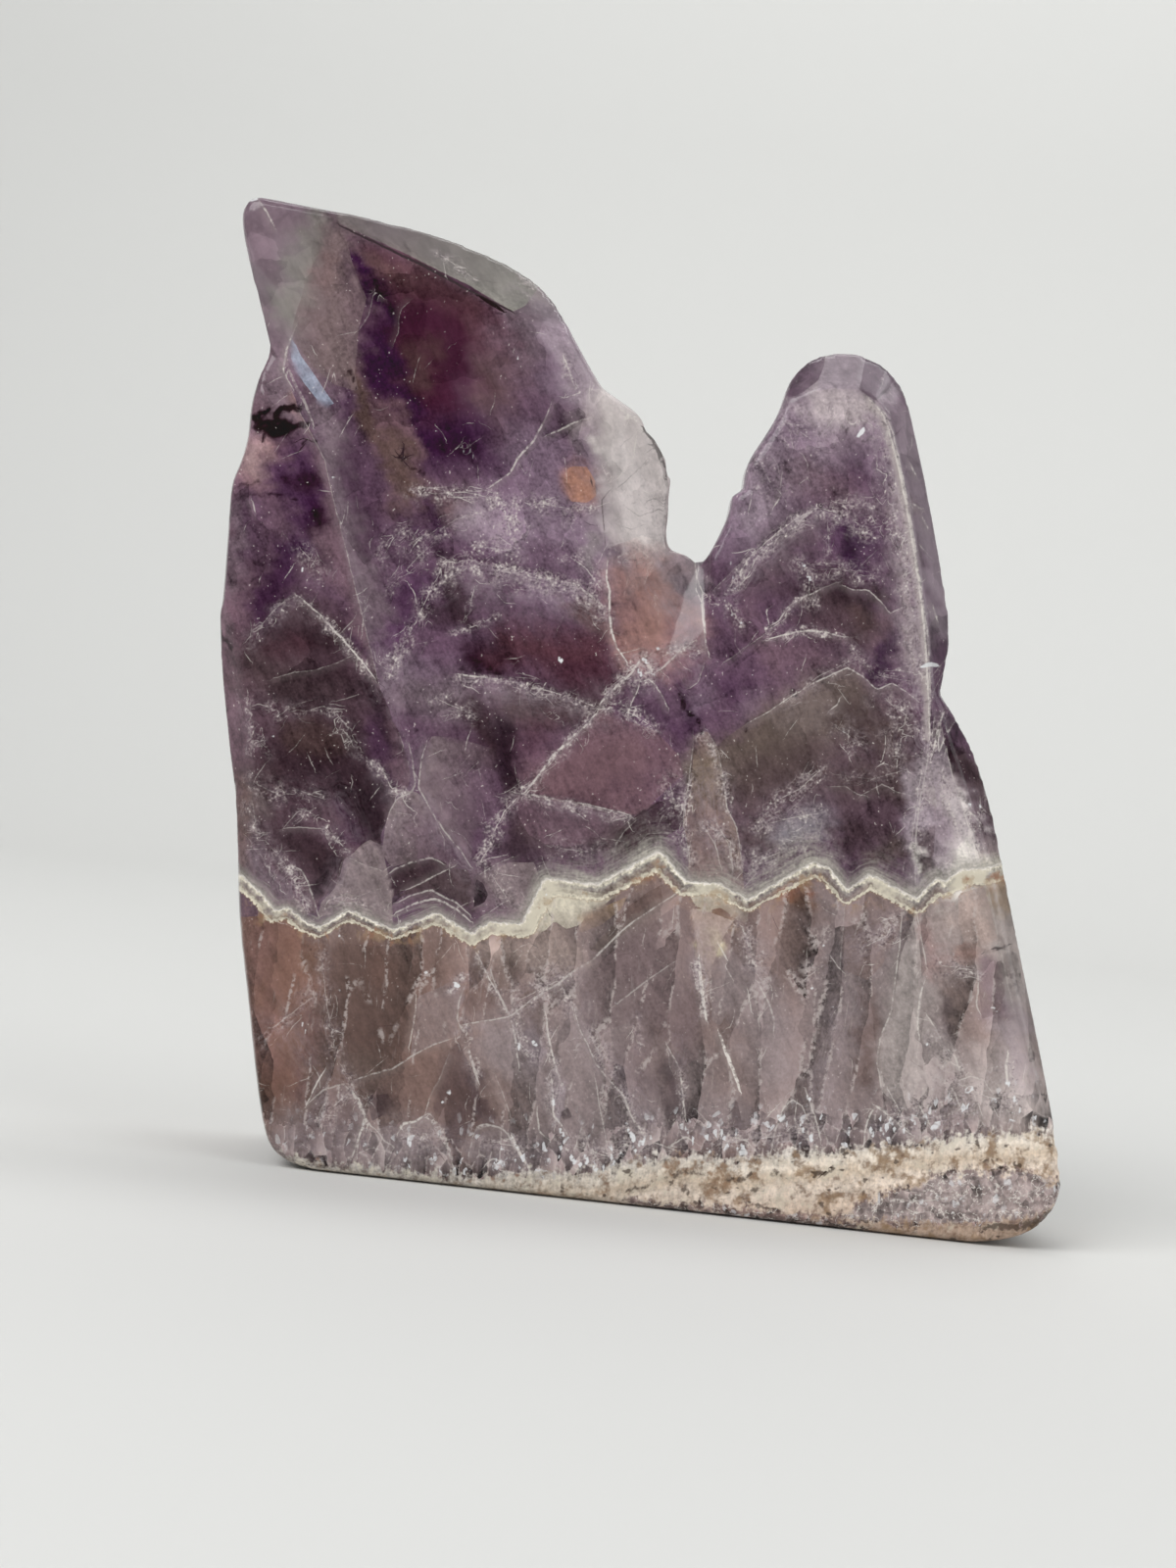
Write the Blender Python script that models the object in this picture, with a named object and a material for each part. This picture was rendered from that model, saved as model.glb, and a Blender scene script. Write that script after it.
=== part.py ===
"""A polished piece of chevron amethyst with two crystal points, free-standing on its sawn base.

The stone grew as one piece, so it is one solid: a lofted slab whose rim is rounded, and whose flat
facets are ground off it by blocks. The front face is the plane y = FRONT and looks towards -Y.
"""

import math

import bmesh
import bpy
from mathutils import Matrix, Vector
from mathutils.geometry import interpolate_bezier

MM = 0.001

# Driving sizes in millimetres
BASE_THICKNESS = 24.0
THINNING = 0.105
HELD_TILT = math.degrees(math.atan2(7.4, 67.0))
BASE_LEFT = (32.0, 40.6)
CENTRE_FROM_BASE_LEFT = 29.005
SPAN_STEPS = 3
NORMAL_REACH = 4
WORN_PASSES = 10
WORN_STEP = 0.3
WORN_ABOVE = 3.0
FRONT = -11.926

# The outline as the stone is held: millimetres across and up, clockwise from the tall tip. The held
# stone leans HELD_TILT clockwise, so its base runs downhill from BASE_LEFT. C marks a sharp corner.
C = True
OUTLINE = [
    # tall point: tip, long polished top edge, shoulder
    (25.3, 139.5),
    (26.4, 139.9),
    (27.8, 139.7),
    (35.0, 138.3),
    (42.8, 136.8),
    (48.4, 135.0),
    (52.9, 132.8),
    (55.9, 130.2),
    (58.0, 126.6),
    (60.3, 122.4),
    (61.5, 120.4, C),
    # chipped edge of the clear face, down to the ledge and the cleft
    (64.6, 118.2),
    (65.5, 117.2, C),
    (65.9, 116.2),
    (66.7, 115.4, C),
    (67.4, 114.2),
    (68.0, 113.0),
    (68.0, 111.8, C),
    (68.5, 111.2),
    (68.3, 109.9),
    (68.2, 107.2),
    (68.0, 105.8),
    (68.3, 104.0, C),
    (69.4, 103.7),
    (70.6, 103.1),
    (71.3, 102.1, C),
    # left flank of the short point, with its small steps
    (72.3, 103.4),
    (73.2, 105.0),
    (74.4, 107.7),
    (74.6, 109.4, C),
    (75.9, 110.1, C),
    (76.0, 111.7),
    (76.6, 113.3),
    (77.9, 115.3),
    (79.3, 117.6),
    (80.1, 119.6, C),
    # round head of the short point
    (80.6, 121.0),
    (81.7, 122.5),
    (83.2, 123.7),
    (84.9, 124.3),
    (86.6, 124.4),
    (88.5, 124.0),
    (90.1, 123.3),
    (91.5, 122.0),
    (92.4, 120.5),
    # right edge, with the notch where the side crystal begins
    (93.4, 116.6),
    (95.0, 108.9),
    (96.6, 100.0),
    (97.1, 96.4),
    (97.0, 93.9),
    (96.4, 91.4),
    (95.9, 89.2, C),
    (97.2, 87.2),
    (99.4, 83.3),
    (101.1, 78.3),
    (102.3, 72.4),
    (104.1, 63.2),
    (106.3, 52.4),
    (107.9, 43.6),
    (108.3, 39.8),
    (107.7, 37.0),
    (105.8, 34.8),
    (103.0, 33.6),
    # sawn base, a straight line
    (99.0, 33.2, C),
    (32.0, 40.6, C),
    # left edge, rounded corner and up to the side notch
    (29.6, 41.4),
    (27.9, 42.6),
    (27.0, 44.6),
    (26.2, 49.4),
    (25.3, 57.9),
    (24.4, 66.5),
    (24.1, 77.1),
    (23.4, 83.0),
    (22.6, 91.0),
    (22.3, 96.8, C),
    (22.7, 98.8),
    (23.3, 106.5),
    (23.7, 110.8),
    (24.6, 113.0),
    (25.3, 115.6),
    (25.6, 118.6),
    (26.4, 121.4),
    (27.3, 123.6),
    (27.5, 124.9, C),
    (26.5, 129.0),
    (25.1, 134.8),
    (24.7, 138.0),
]

# Rings of the loft from front to back: how far behind the front face, as millimetres and as a share
# of the thickness, and how far inside the outline, away from the base and along it. The last rings,
# from FIRST_WORN_RING, follow the outline with its small steps worn away.
RINGS = [
    (0.0, 0.0, 1.2, 0.9),
    (0.35, 0.0, 0.42, 0.35),
    (1.3, 0.0, 0.0, 0.0),
    (0.0, 0.38, 0.0, 0.0),
    (0.0, 0.75, 1.3, 0.0),
    (-1.6, 1.0, 2.5, 0.0),
    (-0.45, 1.0, 3.4, 0.4),
    (0.0, 1.0, 4.8, 1.4),
]
FIRST_WORN_RING = 4
BASE_BLEND = (1.5, 15.0)
TALL_TIP = (25.6, 139.6)
TIP_SPAN = 18.0
TIP_SHARE = 0.3

# Facets ground off the front. Each has two points of its crease, with the ground side on the right
# of the way from the first to the second, the angle off the face, and how far the block runs past
# the first and the second point.
FRONT_FACETS = {
    "top_facet": ((58.6, 124.9), (30.2, 139.4), 40.0, 4.0, 8.0),
    "cap_facet_1": ((83.4, 120.1), (80.4, 118.7), 42.0, 5.0, 5.0),
    "cap_facet_2": ((86.9, 120.3), (83.4, 120.1), 42.0, 5.0, 5.0),
    "cap_facet_3": ((89.1, 119.0), (86.9, 120.3), 42.0, 5.0, 5.0),
    "cap_facet_4": ((90.6, 117.2), (89.1, 119.0), 44.0, 5.0, 5.0),
    "tower_facet_1": ((92.7, 108.5), (90.6, 117.2), 46.0, 4.0, 5.0),
    "tower_facet_2": ((94.3, 97.8), (92.7, 108.5), 47.0, 4.0, 6.0),
    "tower_facet_3": ((95.1, 89.4), (94.3, 97.8), 48.0, 0.0, 6.0),
    "side_facet_1": ((100.1, 73.0), (95.2, 89.6), 44.0, 6.0, 0.0),
    "side_facet_2": ((105.6, 46.5), (100.1, 73.0), 46.0, 12.0, 8.0),
}
# Facets on the back, in the same way and seen from the front
BACK_FACETS = {
    "back_top_facet": ((57.0, 121.5), (33.0, 134.5), 30.0, 12.0, 14.0),
    "back_tower_facet": ((90.4, 90.0), (86.4, 116.0), 30.0, 0.0, 14.0),
    "back_side_facet": ((98.2, 56.0), (90.2, 87.6), 27.0, 24.0, 0.0),
    "back_left_facet": ((31.5, 120.0), (31.5, 62.0), 24.0, 3.0, 24.0),
}
REACH = 15.0

# Shallow cuts with slanted walls, as the points of a convex block: millimetres across and up on the
# held stone, and how far behind the front face.
CLEAR_FACE = [
    (59.6, 124.5, -1.0),
    (60.2, 113.0, -1.0),
    (60.6, 101.0, -1.0),
    (61.4, 95.0, -1.0),
    (64.0, 90.2, -1.0),
    (67.5, 89.2, -1.0),
    (72.4, 92.5, -1.0),
    (72.9, 102.0, -1.0),
    (73.0, 124.5, -1.0),
    (68.9, 124.0, 2.3),
    (68.9, 104.0, 2.3),
    (69.6, 99.0, 1.7),
    (68.2, 94.6, 0.7),
    (72.0, 104.0, 2.3),
    (72.0, 124.0, 2.3),
]
LEFT_BEVEL = [
    (19.0, 104.0, -1.0),
    (24.5, 97.0, -1.0),
    (26.0, 89.0, -1.0),
    (27.1, 81.0, -1.0),
    (26.2, 72.0, -1.0),
    (19.0, 66.0, -1.0),
    (20.8, 100.0, 2.6),
    (22.6, 82.0, 2.6),
    (22.4, 71.0, 2.6),
    (17.0, 100.0, 2.6),
    (17.0, 70.0, 2.6),
]
RIDGE_FACET = [
    (95.8, 87.3, -0.3),
    (92.4, 67.9, -0.3),
    (91.2, 45.0, -0.3),
    (112.0, 30.0, -0.3),
    (112.0, 80.0, -0.3),
    (98.6, 86.5, 0.3),
    (112.0, 75.0, 1.3),
    (112.0, 46.0, 1.3),
]
HULLS = {"clear_face": CLEAR_FACE, "left_bevel": LEFT_BEVEL, "ridge_facet": RIDGE_FACET}

# The groove that runs in from the side notch
GROOVE_FROM = (26.6, 125.6)
GROOVE_TO = (35.5, 114.6)
GROOVE_RADIUS = 5.0
GROOVE_DEPTH = 1.7


def upright(u, v):
    """Turns a point of the held stone to the standing stone: x across, z up from the base."""
    turn = math.radians(HELD_TILT)
    du = u - BASE_LEFT[0]
    dv = v - BASE_LEFT[1]
    x = du * math.cos(turn) - dv * math.sin(turn) - CENTRE_FROM_BASE_LEFT
    z = du * math.sin(turn) + dv * math.cos(turn)
    return Vector((x, 0.0, z))


def thickness_at(z):
    """The slab is a wedge: it thins evenly towards the tips."""
    return BASE_THICKNESS - THINNING * z


def smooth_outline(points):
    """A closed smooth line through the points, broken at the corners."""
    knots = [upright(p[0], p[1]) for p in points]
    corners = [len(p) > 2 for p in points]
    count = len(knots)
    line = []
    for i in range(count):
        j = (i + 1) % count
        span = (knots[j] - knots[i]).length
        pull = [Vector(), Vector()]
        for side, k in enumerate((i, j)):
            if not corners[k]:
                tangent = (knots[(k + 1) % count] - knots[k - 1]).normalized()
                pull[side] = tangent * span / 3
        run = interpolate_bezier(knots[i], knots[i] + pull[0], knots[j] - pull[1], knots[j], SPAN_STEPS + 1)
        line += run[:-1]
    return line


def smoothed(line):
    """Each point moved to the mean of itself and its neighbours, except along the base."""
    return [
        (line[i - 1] + p + line[(i + 1) % len(line)]) / 3 if p.z > WORN_ABOVE else p
        for i, p in enumerate(line)
    ]


def inward(line, i):
    """The way into the stone at one point, longer at a corner so that both its sides move in evenly."""
    ahead = (line[(i + NORMAL_REACH) % len(line)] - line[i]).normalized()
    behind = (line[i] - line[i - NORMAL_REACH]).normalized()
    along = (ahead + behind).normalized()
    return Vector((along.z, 0.0, -along.x)) / max(along.dot(ahead), 0.5)


def inset_at(z, ring):
    """How far inside the outline a ring runs at one height."""
    _, _, inset, base_inset = RINGS[ring]
    start, end = BASE_BLEND
    clear_of_base = min(max((z - start) / (end - start), 0.0), 1.0)
    return base_inset + (inset - base_inset) * clear_of_base


def ring_lines(line):
    """The line of each ring. The worn ones shrink step by step and are smoothed, so that no tip
    folds, and they shrink less near the sharp tall tip."""
    lines = []
    for ring in range(FIRST_WORN_RING):
        lines.append([p + inward(line, i) * inset_at(p.z, ring) for i, p in enumerate(line)])
    heights = [p.z for p in line]
    tip = upright(*TALL_TIP)
    shares = [min(1.0, TIP_SHARE + (1 - TIP_SHARE) * (p - tip).length / TIP_SPAN) for p in line]
    for _ in range(WORN_PASSES):
        line = smoothed(line)
    for ring in range(FIRST_WORN_RING, len(RINGS)):
        more = [(inset_at(z, ring) - inset_at(z, ring - 1)) * w for z, w in zip(heights, shares)]
        steps = max(1, math.ceil(max(more) / WORN_STEP))
        for _ in range(steps):
            line = smoothed([p + inward(line, i) * more[i] / steps for i, p in enumerate(line)])
        lines.append(line)
    return lines


def ring_point(p, ring):
    """One point of a ring's line, brought to its depth behind the front face."""
    offset, share, _, _ = RINGS[ring]
    z = max(p.z, 0.0)
    return Vector((p.x, FRONT + offset + share * thickness_at(z), z))


def loft_slab(line):
    """The rounded slab: one ring of points after another, bridged, with a face over each end."""
    mesh = bpy.data.meshes.new("amethyst")
    bm = bmesh.new()
    rings = []
    for ring, course in enumerate(ring_lines(line)):
        rings.append([bm.verts.new(ring_point(p, ring) * MM) for p in course])
    for near, far in zip(rings, rings[1:]):
        for i in range(len(line)):
            j = (i + 1) % len(line)
            bm.faces.new((near[i], near[j], far[j], far[i]))
    bm.faces.new(rings[0])
    bm.faces.new(rings[-1])
    bmesh.ops.remove_doubles(bm, verts=bm.verts, dist=0.02 * MM)
    bmesh.ops.recalc_face_normals(bm, faces=bm.faces)
    bm.to_mesh(mesh)
    bm.free()
    return mesh


def add_cutter(stone, mesh, name, collection):
    """Cuts the stone by one closed mesh, which stays in the file as a hidden wire."""
    cutter = bpy.data.objects.new(name, mesh)
    collection.objects.link(cutter)
    cutter.hide_render = True
    cutter.display_type = "WIRE"
    cut = stone.modifiers.new(name, "BOOLEAN")
    cut.operation = "DIFFERENCE"
    cut.object = cutter


def mesh_of(bm, name, place=None):
    """A named mesh in metres from one in millimetres."""
    bmesh.ops.transform(bm, matrix=Matrix.Scale(MM, 4) @ (place or Matrix()), verts=bm.verts)
    bmesh.ops.recalc_face_normals(bm, faces=bm.faces)
    mesh = bpy.data.meshes.new(name)
    bm.to_mesh(mesh)
    bm.free()
    return mesh


def face_point(u, v, behind):
    """A point of the held stone, put on the front or the back face."""
    p = upright(u, v)
    p.y = FRONT + (thickness_at(p.z) if behind else 0.0)
    return p


def facet_block(name, facet, behind):
    """A block whose underside is the facet: it meets the face along the crease and falls away."""
    first, second, angle, before, after = facet
    start = face_point(*first, behind)
    end = face_point(*second, behind)
    along = (end - start).normalized()
    start -= along * before
    end += along * after
    face = Vector((0.0, 1.0, THINNING)).normalized() if behind else Vector((0.0, -1.0, 0.0))
    out = along.cross(-face if behind else face)
    tilt = math.radians(angle)
    slope = out * math.cos(tilt) - face * math.sin(tilt)
    normal = out * math.sin(tilt) + face * math.cos(tilt)
    place = Matrix((along * (end - start).length, slope * REACH, normal * REACH)).transposed().to_4x4()
    place.translation = (start + end) / 2 + slope * REACH * 0.4 + normal * REACH / 2
    bm = bmesh.new()
    bmesh.ops.create_cube(bm, size=1.0)
    return mesh_of(bm, name, place)


def hull_block(name, points):
    """The convex block around some points of the held stone."""
    bm = bmesh.new()
    for u, v, depth in points:
        bm.verts.new(upright(u, v) + Vector((0.0, FRONT + depth, 0.0)))
    bmesh.ops.convex_hull(bm, input=bm.verts)
    loose = [v for v in bm.verts if not v.link_faces]
    bmesh.ops.delete(bm, geom=loose, context="VERTS")
    return mesh_of(bm, name)


def groove_rod(name):
    """A rod laid along the side notch, which leaves a shallow groove that runs out on the face."""
    start = upright(*GROOVE_FROM) + Vector((0.0, FRONT - GROOVE_RADIUS + GROOVE_DEPTH, 0.0))
    end = upright(*GROOVE_TO) + Vector((0.0, FRONT - GROOVE_RADIUS, 0.0))
    axis = end - start
    bm = bmesh.new()
    bmesh.ops.create_cone(
        bm, cap_ends=True, segments=40, radius1=GROOVE_RADIUS, radius2=GROOVE_RADIUS, depth=2 * axis.length
    )
    return mesh_of(bm, name, Matrix.Translation(start) @ axis.to_track_quat("Z", "Y").to_matrix().to_4x4())


def amethyst_material():
    """Polished amethyst: violet, glassy and partly clear."""
    material = bpy.data.materials.new("amethyst")
    material.use_nodes = True
    surface = material.node_tree.nodes["Principled BSDF"]
    surface.inputs["Base Color"].default_value = (0.2, 0.13, 0.24, 1.0)
    surface.inputs["Roughness"].default_value = 0.06
    surface.inputs["IOR"].default_value = 1.544
    surface.inputs["Transmission Weight"].default_value = 0.3
    material.diffuse_color = (0.2, 0.13, 0.24, 1.0)
    return material


def clear_scene():
    """Empties the scene that the script starts in."""
    for thing in list(bpy.data.objects):
        bpy.data.objects.remove(thing)


def new_collection(name):
    """A named collection in the scene."""
    collection = bpy.data.collections.new(name)
    bpy.context.scene.collection.children.link(collection)
    return collection


def main():
    """Builds the stone and grinds its facets."""
    clear_scene()
    parts = new_collection("polished_amethyst")
    cutters = new_collection("cutters")
    line = smooth_outline(OUTLINE)
    stone = bpy.data.objects.new("amethyst", loft_slab(line))
    parts.objects.link(stone)
    stone.data.materials.append(amethyst_material())
    for name, facet in FRONT_FACETS.items():
        add_cutter(stone, facet_block(name, facet, False), name, cutters)
    for name, facet in BACK_FACETS.items():
        add_cutter(stone, facet_block(name, facet, True), name, cutters)
    for name, points in HULLS.items():
        add_cutter(stone, hull_block(name, points), name, cutters)
    add_cutter(stone, groove_rod("groove"), "groove", cutters)


main()
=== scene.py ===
# %% [markdown]
# # A polished amethyst
# This scene dresses one solid, a polished slab of chevron amethyst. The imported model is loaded
# first and stays fixed: it gives the place, the size and the outline. Everything after it is about
# how the stone looks.

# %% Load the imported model
import math

import bmesh
import bpy
import mathutils
import numpy as np
from mathutils import Matrix, Vector


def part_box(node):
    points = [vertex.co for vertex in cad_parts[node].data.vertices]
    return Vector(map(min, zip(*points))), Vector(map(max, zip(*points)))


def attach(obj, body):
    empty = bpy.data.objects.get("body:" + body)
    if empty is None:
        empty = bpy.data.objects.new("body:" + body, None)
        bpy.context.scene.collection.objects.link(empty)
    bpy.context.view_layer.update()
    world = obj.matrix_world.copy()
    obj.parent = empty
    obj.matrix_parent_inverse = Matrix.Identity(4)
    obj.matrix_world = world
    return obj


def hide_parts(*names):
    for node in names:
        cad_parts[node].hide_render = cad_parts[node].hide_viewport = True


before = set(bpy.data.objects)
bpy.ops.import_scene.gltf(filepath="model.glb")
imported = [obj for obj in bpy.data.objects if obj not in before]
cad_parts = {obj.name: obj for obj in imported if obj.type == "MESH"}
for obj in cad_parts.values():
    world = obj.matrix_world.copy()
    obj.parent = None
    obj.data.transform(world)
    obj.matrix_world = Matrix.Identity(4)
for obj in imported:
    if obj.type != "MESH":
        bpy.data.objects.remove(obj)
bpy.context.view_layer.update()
low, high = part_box("amethyst")
size_mm = [round((b - a) * 1000, 1) for a, b in zip(low, high)]
print("nodes", sorted(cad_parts), "size in mm", size_mm)

# %% [markdown]
# ## The camera first
# The stone stands on its base here, but the picture to match shows it leaning, about six degrees
# clockwise. Rolling the camera by the same angle gives the same view of a stone that stands level.
# The lens follows from the field of view: 160 mm of height at a distance of 250 mm. Blender counts
# the sensor width along the longer side of an upright picture.

# %% Camera
MM = 0.001
FRONT = low[1]  # y of the side that faces the camera
LEAN = math.atan2(7.4, 67.0)  # 7.4 mm sideways over 67 mm of height
DISTANCE = 250.0 * MM
FIELD_HEIGHT = 160.0 * MM

camera_data = bpy.data.cameras.new("camera")
camera_data.sensor_width = 36.0
camera_data.lens = camera_data.sensor_width * DISTANCE / FIELD_HEIGHT
camera_data.clip_start = 0.01
camera = bpy.data.objects.new("camera", camera_data)
bpy.context.scene.collection.objects.link(camera)
AIM = Vector((-5.5 * MM, FRONT + 1.3 * MM, 42.24 * MM))
EYE = AIM - Vector((0, DISTANCE, 0))
turn = Matrix.Rotation(math.pi / 2, 4, "X") @ Matrix.Rotation(LEAN, 4, "Z")
camera.matrix_world = Matrix.Translation(EYE) @ turn
bpy.context.scene.camera = camera
print("lens", round(camera_data.lens, 2), "mm, roll", round(math.degrees(LEAN), 2), "degrees")

# %% [markdown]
# ## The stone's mesh
# The CAD solid has few, large triangles. A pattern that is stored on points needs many small, even
# ones. A voxel remesh gives them, but the same small voxels all over would cost far too many faces,
# so the copy is remeshed coarsely, the faces that look forward are split once more, and both times
# the points are pulled back onto the exact surface.

# %% Remesh a copy of the solid
VOXEL = 0.68 * MM
FORWARD = -0.4  # a face looks forward if its normal has less y than this

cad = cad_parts["amethyst"]
stone = bpy.data.objects.new("polished_amethyst", cad.data.copy())
bpy.context.scene.collection.objects.link(stone)


def edit(thing, change):
    """Opens the object's mesh as a bmesh, changes it and writes it back."""
    bm = bmesh.new()
    bm.from_mesh(thing.data)
    bm.normal_update()
    change(bm)
    bm.to_mesh(thing.data)
    bm.free()


def apply_modifier(thing, kind, **settings):
    """Adds one modifier and bakes its result into the object's mesh."""
    modifier = thing.modifiers.new(kind.lower(), kind)
    for name, value in settings.items():
        setattr(modifier, name, value)
    bpy.context.view_layer.update()
    evaluated = thing.evaluated_get(bpy.context.evaluated_depsgraph_get())
    done = bpy.data.meshes.new_from_object(evaluated)
    thing.modifiers.clear()
    thing.data = done


def split_front(bm):
    """Splits every edge of the faces that look forward."""
    faces = [f for f in bm.faces if f.normal.y < FORWARD]
    edges = list({e for f in faces for e in f.edges})
    bmesh.ops.subdivide_edges(bm, edges=edges, cuts=1, use_grid_fill=True)


edit(stone, lambda bm: bmesh.ops.remove_doubles(bm, verts=bm.verts, dist=0.001 * MM))
apply_modifier(stone, "REMESH", mode="VOXEL", voxel_size=VOXEL)
apply_modifier(stone, "SHRINKWRAP", target=cad, wrap_method="NEAREST_SURFACEPOINT")
apply_modifier(stone, "SMOOTH", factor=0.5, iterations=2)
edit(stone, split_front)
apply_modifier(stone, "SHRINKWRAP", target=cad, wrap_method="NEAREST_SURFACEPOINT")
apply_modifier(stone, "SMOOTH", factor=0.5, iterations=3)
triangles = sum(len(p.vertices) - 2 for p in stone.data.polygons)
print("points", len(stone.data.vertices), "triangles", triangles)

# %% [markdown]
# ## A drawing plane for the pattern
# The stone's layers, veils and cracks are drawn as lines and outlines. They are written in
# tenths of a millimetre, right and down from the top left corner of the camera's view, the way
# they were read with a ruler. Each point of the mesh gets its place on that plane once, here, and
# keeps it as a value on the point, so the pattern is fixed to the stone. Deeper in, the plane
# drifts and waves a little, because layers in a crystal don't run straight back.

# %% Place every point on the drawing plane
PLANE_WIDTH, PLANE_HEIGHT = 1200.0, 1600.0
PER_MM = 10.0  # units of the plane in a millimetre
VIEW_SCALE = PLANE_HEIGHT * DISTANCE / FIELD_HEIGHT
SKIN = 3.0 * MM  # the pattern drifts only below this depth

count = len(stone.data.vertices)
co = np.empty(count * 3)
stone.data.vertices.foreach_get("co", co)
co = co.reshape(-1, 3)
flat = np.array(turn.to_3x3())
seen = (co - np.array(EYE)) @ flat
from_left = PLANE_WIDTH / 2 + VIEW_SCALE * seen[:, 0] / -seen[:, 2]
from_top = PLANE_HEIGHT / 2 - VIEW_SCALE * seen[:, 1] / -seen[:, 2]
spot = np.stack([from_left, from_top], axis=1)
depth = np.clip(co[:, 1] - FRONT - SKIN, 0, None) / MM
x_mm, z_mm = co[:, 0] / MM, co[:, 2] / MM
spot[:, 0] += depth * (1.1 * np.sin(z_mm / 6.3 + 1.0) + 0.9 * np.sin(z_mm / 2.7 + x_mm / 9.0))
drift_down = 0.9 + 0.9 * np.sin(x_mm / 5.1 + 2.0) + 0.5 * np.sin(x_mm / 2.3 + z_mm / 7.0)
spot[:, 1] += depth * drift_down
print("drawing plane", spot.min(axis=0).round(), spot.max(axis=0).round())


# %% Distances on the drawing plane
def corners_of(line):
    """A line's corners, two numbers each, and the lengths of its pieces."""
    ends = np.asarray(line, float).reshape(-1, 2)
    return ends, np.hypot(*(ends[1:] - ends[:-1]).T)


def nearest(points, line):
    """From each point to a line of corners: distance, side (left -1, right 1) and share along."""
    ends, steps = corners_of(line)
    starts = np.concatenate([[0], np.cumsum(steps)])
    best = np.full(len(points), np.inf)
    side = np.ones(len(points))
    along = np.zeros(len(points))
    for k, (a, b) in enumerate(zip(ends, ends[1:])):
        run = b - a
        share = np.clip(((points - a) @ run) / (run @ run), 0, 1)
        off = points - a - share[:, None] * run
        far = np.hypot(off[:, 0], off[:, 1])
        closer = far < best
        best = np.where(closer, far, best)
        cross = run[0] * off[:, 1] - run[1] * off[:, 0]
        side = np.where(closer, np.where(cross < 0, -1.0, 1.0), side)
        along = np.where(closer, (starts[k] + share * steps[k]) / starts[-1], along)
    return best, side, along


def inside(points, outline):
    """Signed distance from each point to a closed outline, positive inside it."""
    corners, _ = corners_of(outline)
    far, _, _ = nearest(points, np.vstack([corners, corners[:1]]))
    within = np.zeros(len(points), bool)
    for a, b in zip(corners, np.roll(corners, -1, axis=0)):
        crosses = (a[1] > points[:, 1]) != (b[1] > points[:, 1])
        reach = a[0] + (points[:, 1] - a[1]) * (b[0] - a[0]) / (b[1] - a[1] + 1e-9)
        within ^= crosses & (points[:, 0] < reach)
    return np.where(within, far, -far)


def near(line, reach):
    """The points within reach of a line's own box, as indices, to save time."""
    ends, _ = corners_of(line)
    within = (spot > ends.min(axis=0) - reach) & (spot < ends.max(axis=0) + reach)
    return np.flatnonzero(within.all(axis=1))


def fade(far, reach, power):
    """1 on a line, and softly down to nothing beyond its reach. A high power is a firmer edge."""
    return np.exp(-((far / reach) ** power))


print("points near the tip", len(near((262, 205), 30)))

# %% [markdown]
# ## Colours
# The palette is small and named, as on a painter's tray. Values are those of a paint program, from
# 0 to 255, and are turned into the linear values that Blender works with.

# %% Palette
PALETTE = {
    "tip mauve": (140, 120, 130), "clear grey": (146, 143, 135),
    "pale quartz": (186, 175, 171), "rosy quartz": (200, 190, 188),
    "dusty rose": (174, 134, 130), "plum": (66, 35, 50),
    "wine": (83, 54, 62), "black plum": (42, 24, 33),
    "deep violet": (55, 30, 56), "violet": (78, 53, 76),
    "purple": (96, 73, 90), "lavender": (126, 106, 122),
    "pale lilac": (160, 146, 154), "mauve": (108, 85, 95),
    "rosy mauve": (114, 88, 94), "smoke": (78, 63, 66),
    "dark smoke": (57, 42, 47), "night smoke": (42, 31, 37),
    "grey mauve": (114, 98, 106), "stone grey": (138, 124, 124),
    "taupe": (124, 104, 99), "warm taupe": (118, 88, 78),
    "dust brown": (94, 75, 70), "olive smoke": (102, 89, 83),
    "beige": (168, 146, 124), "bone": (196, 183, 155),
    "milk": (222, 215, 208), "sand": (160, 134, 104),
    "amber": (112, 82, 62), "rust": (142, 96, 78),
    "salmon": (162, 118, 98), "ash": (118, 101, 102),
    "mist blue": (136, 136, 144), "clear quartz": (232, 224, 220),
    "cream": (208, 200, 182), "fog": (160, 155, 147),
    "rosy beige": (172, 153, 146), "tan": (124, 98, 76),
    "ink": (28, 15, 20), "painted highlight blue": (158, 168, 186),
    "lens grey": (156, 143, 141),
}


def linear(colour):
    """A colour of the palette by name, in linear values."""
    share = np.array(PALETTE[colour]) / 255
    # the curve of the sRGB standard
    return np.where(share < 0.04045, share / 12.92, ((share + 0.055) / 1.055) ** 2.4)


def rgba(name, alpha=1.0):
    """A colour of the palette for a socket or a ramp."""
    return (*linear(name), alpha)


print(len(PALETTE), "colours")

# %% [markdown]
# ## Soft masses of colour
# The stone is dark plum in the heart of the tall point, smoky in the left crystal, brown-grey in
# the short point and pale taupe in the root. These masses have no hard edges, so each is a soft
# stroke: a colour, how strongly it covers, how wide it is, and the corners of its line.
# The left crystal has a sharp border, so it has a picture of its own.

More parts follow.
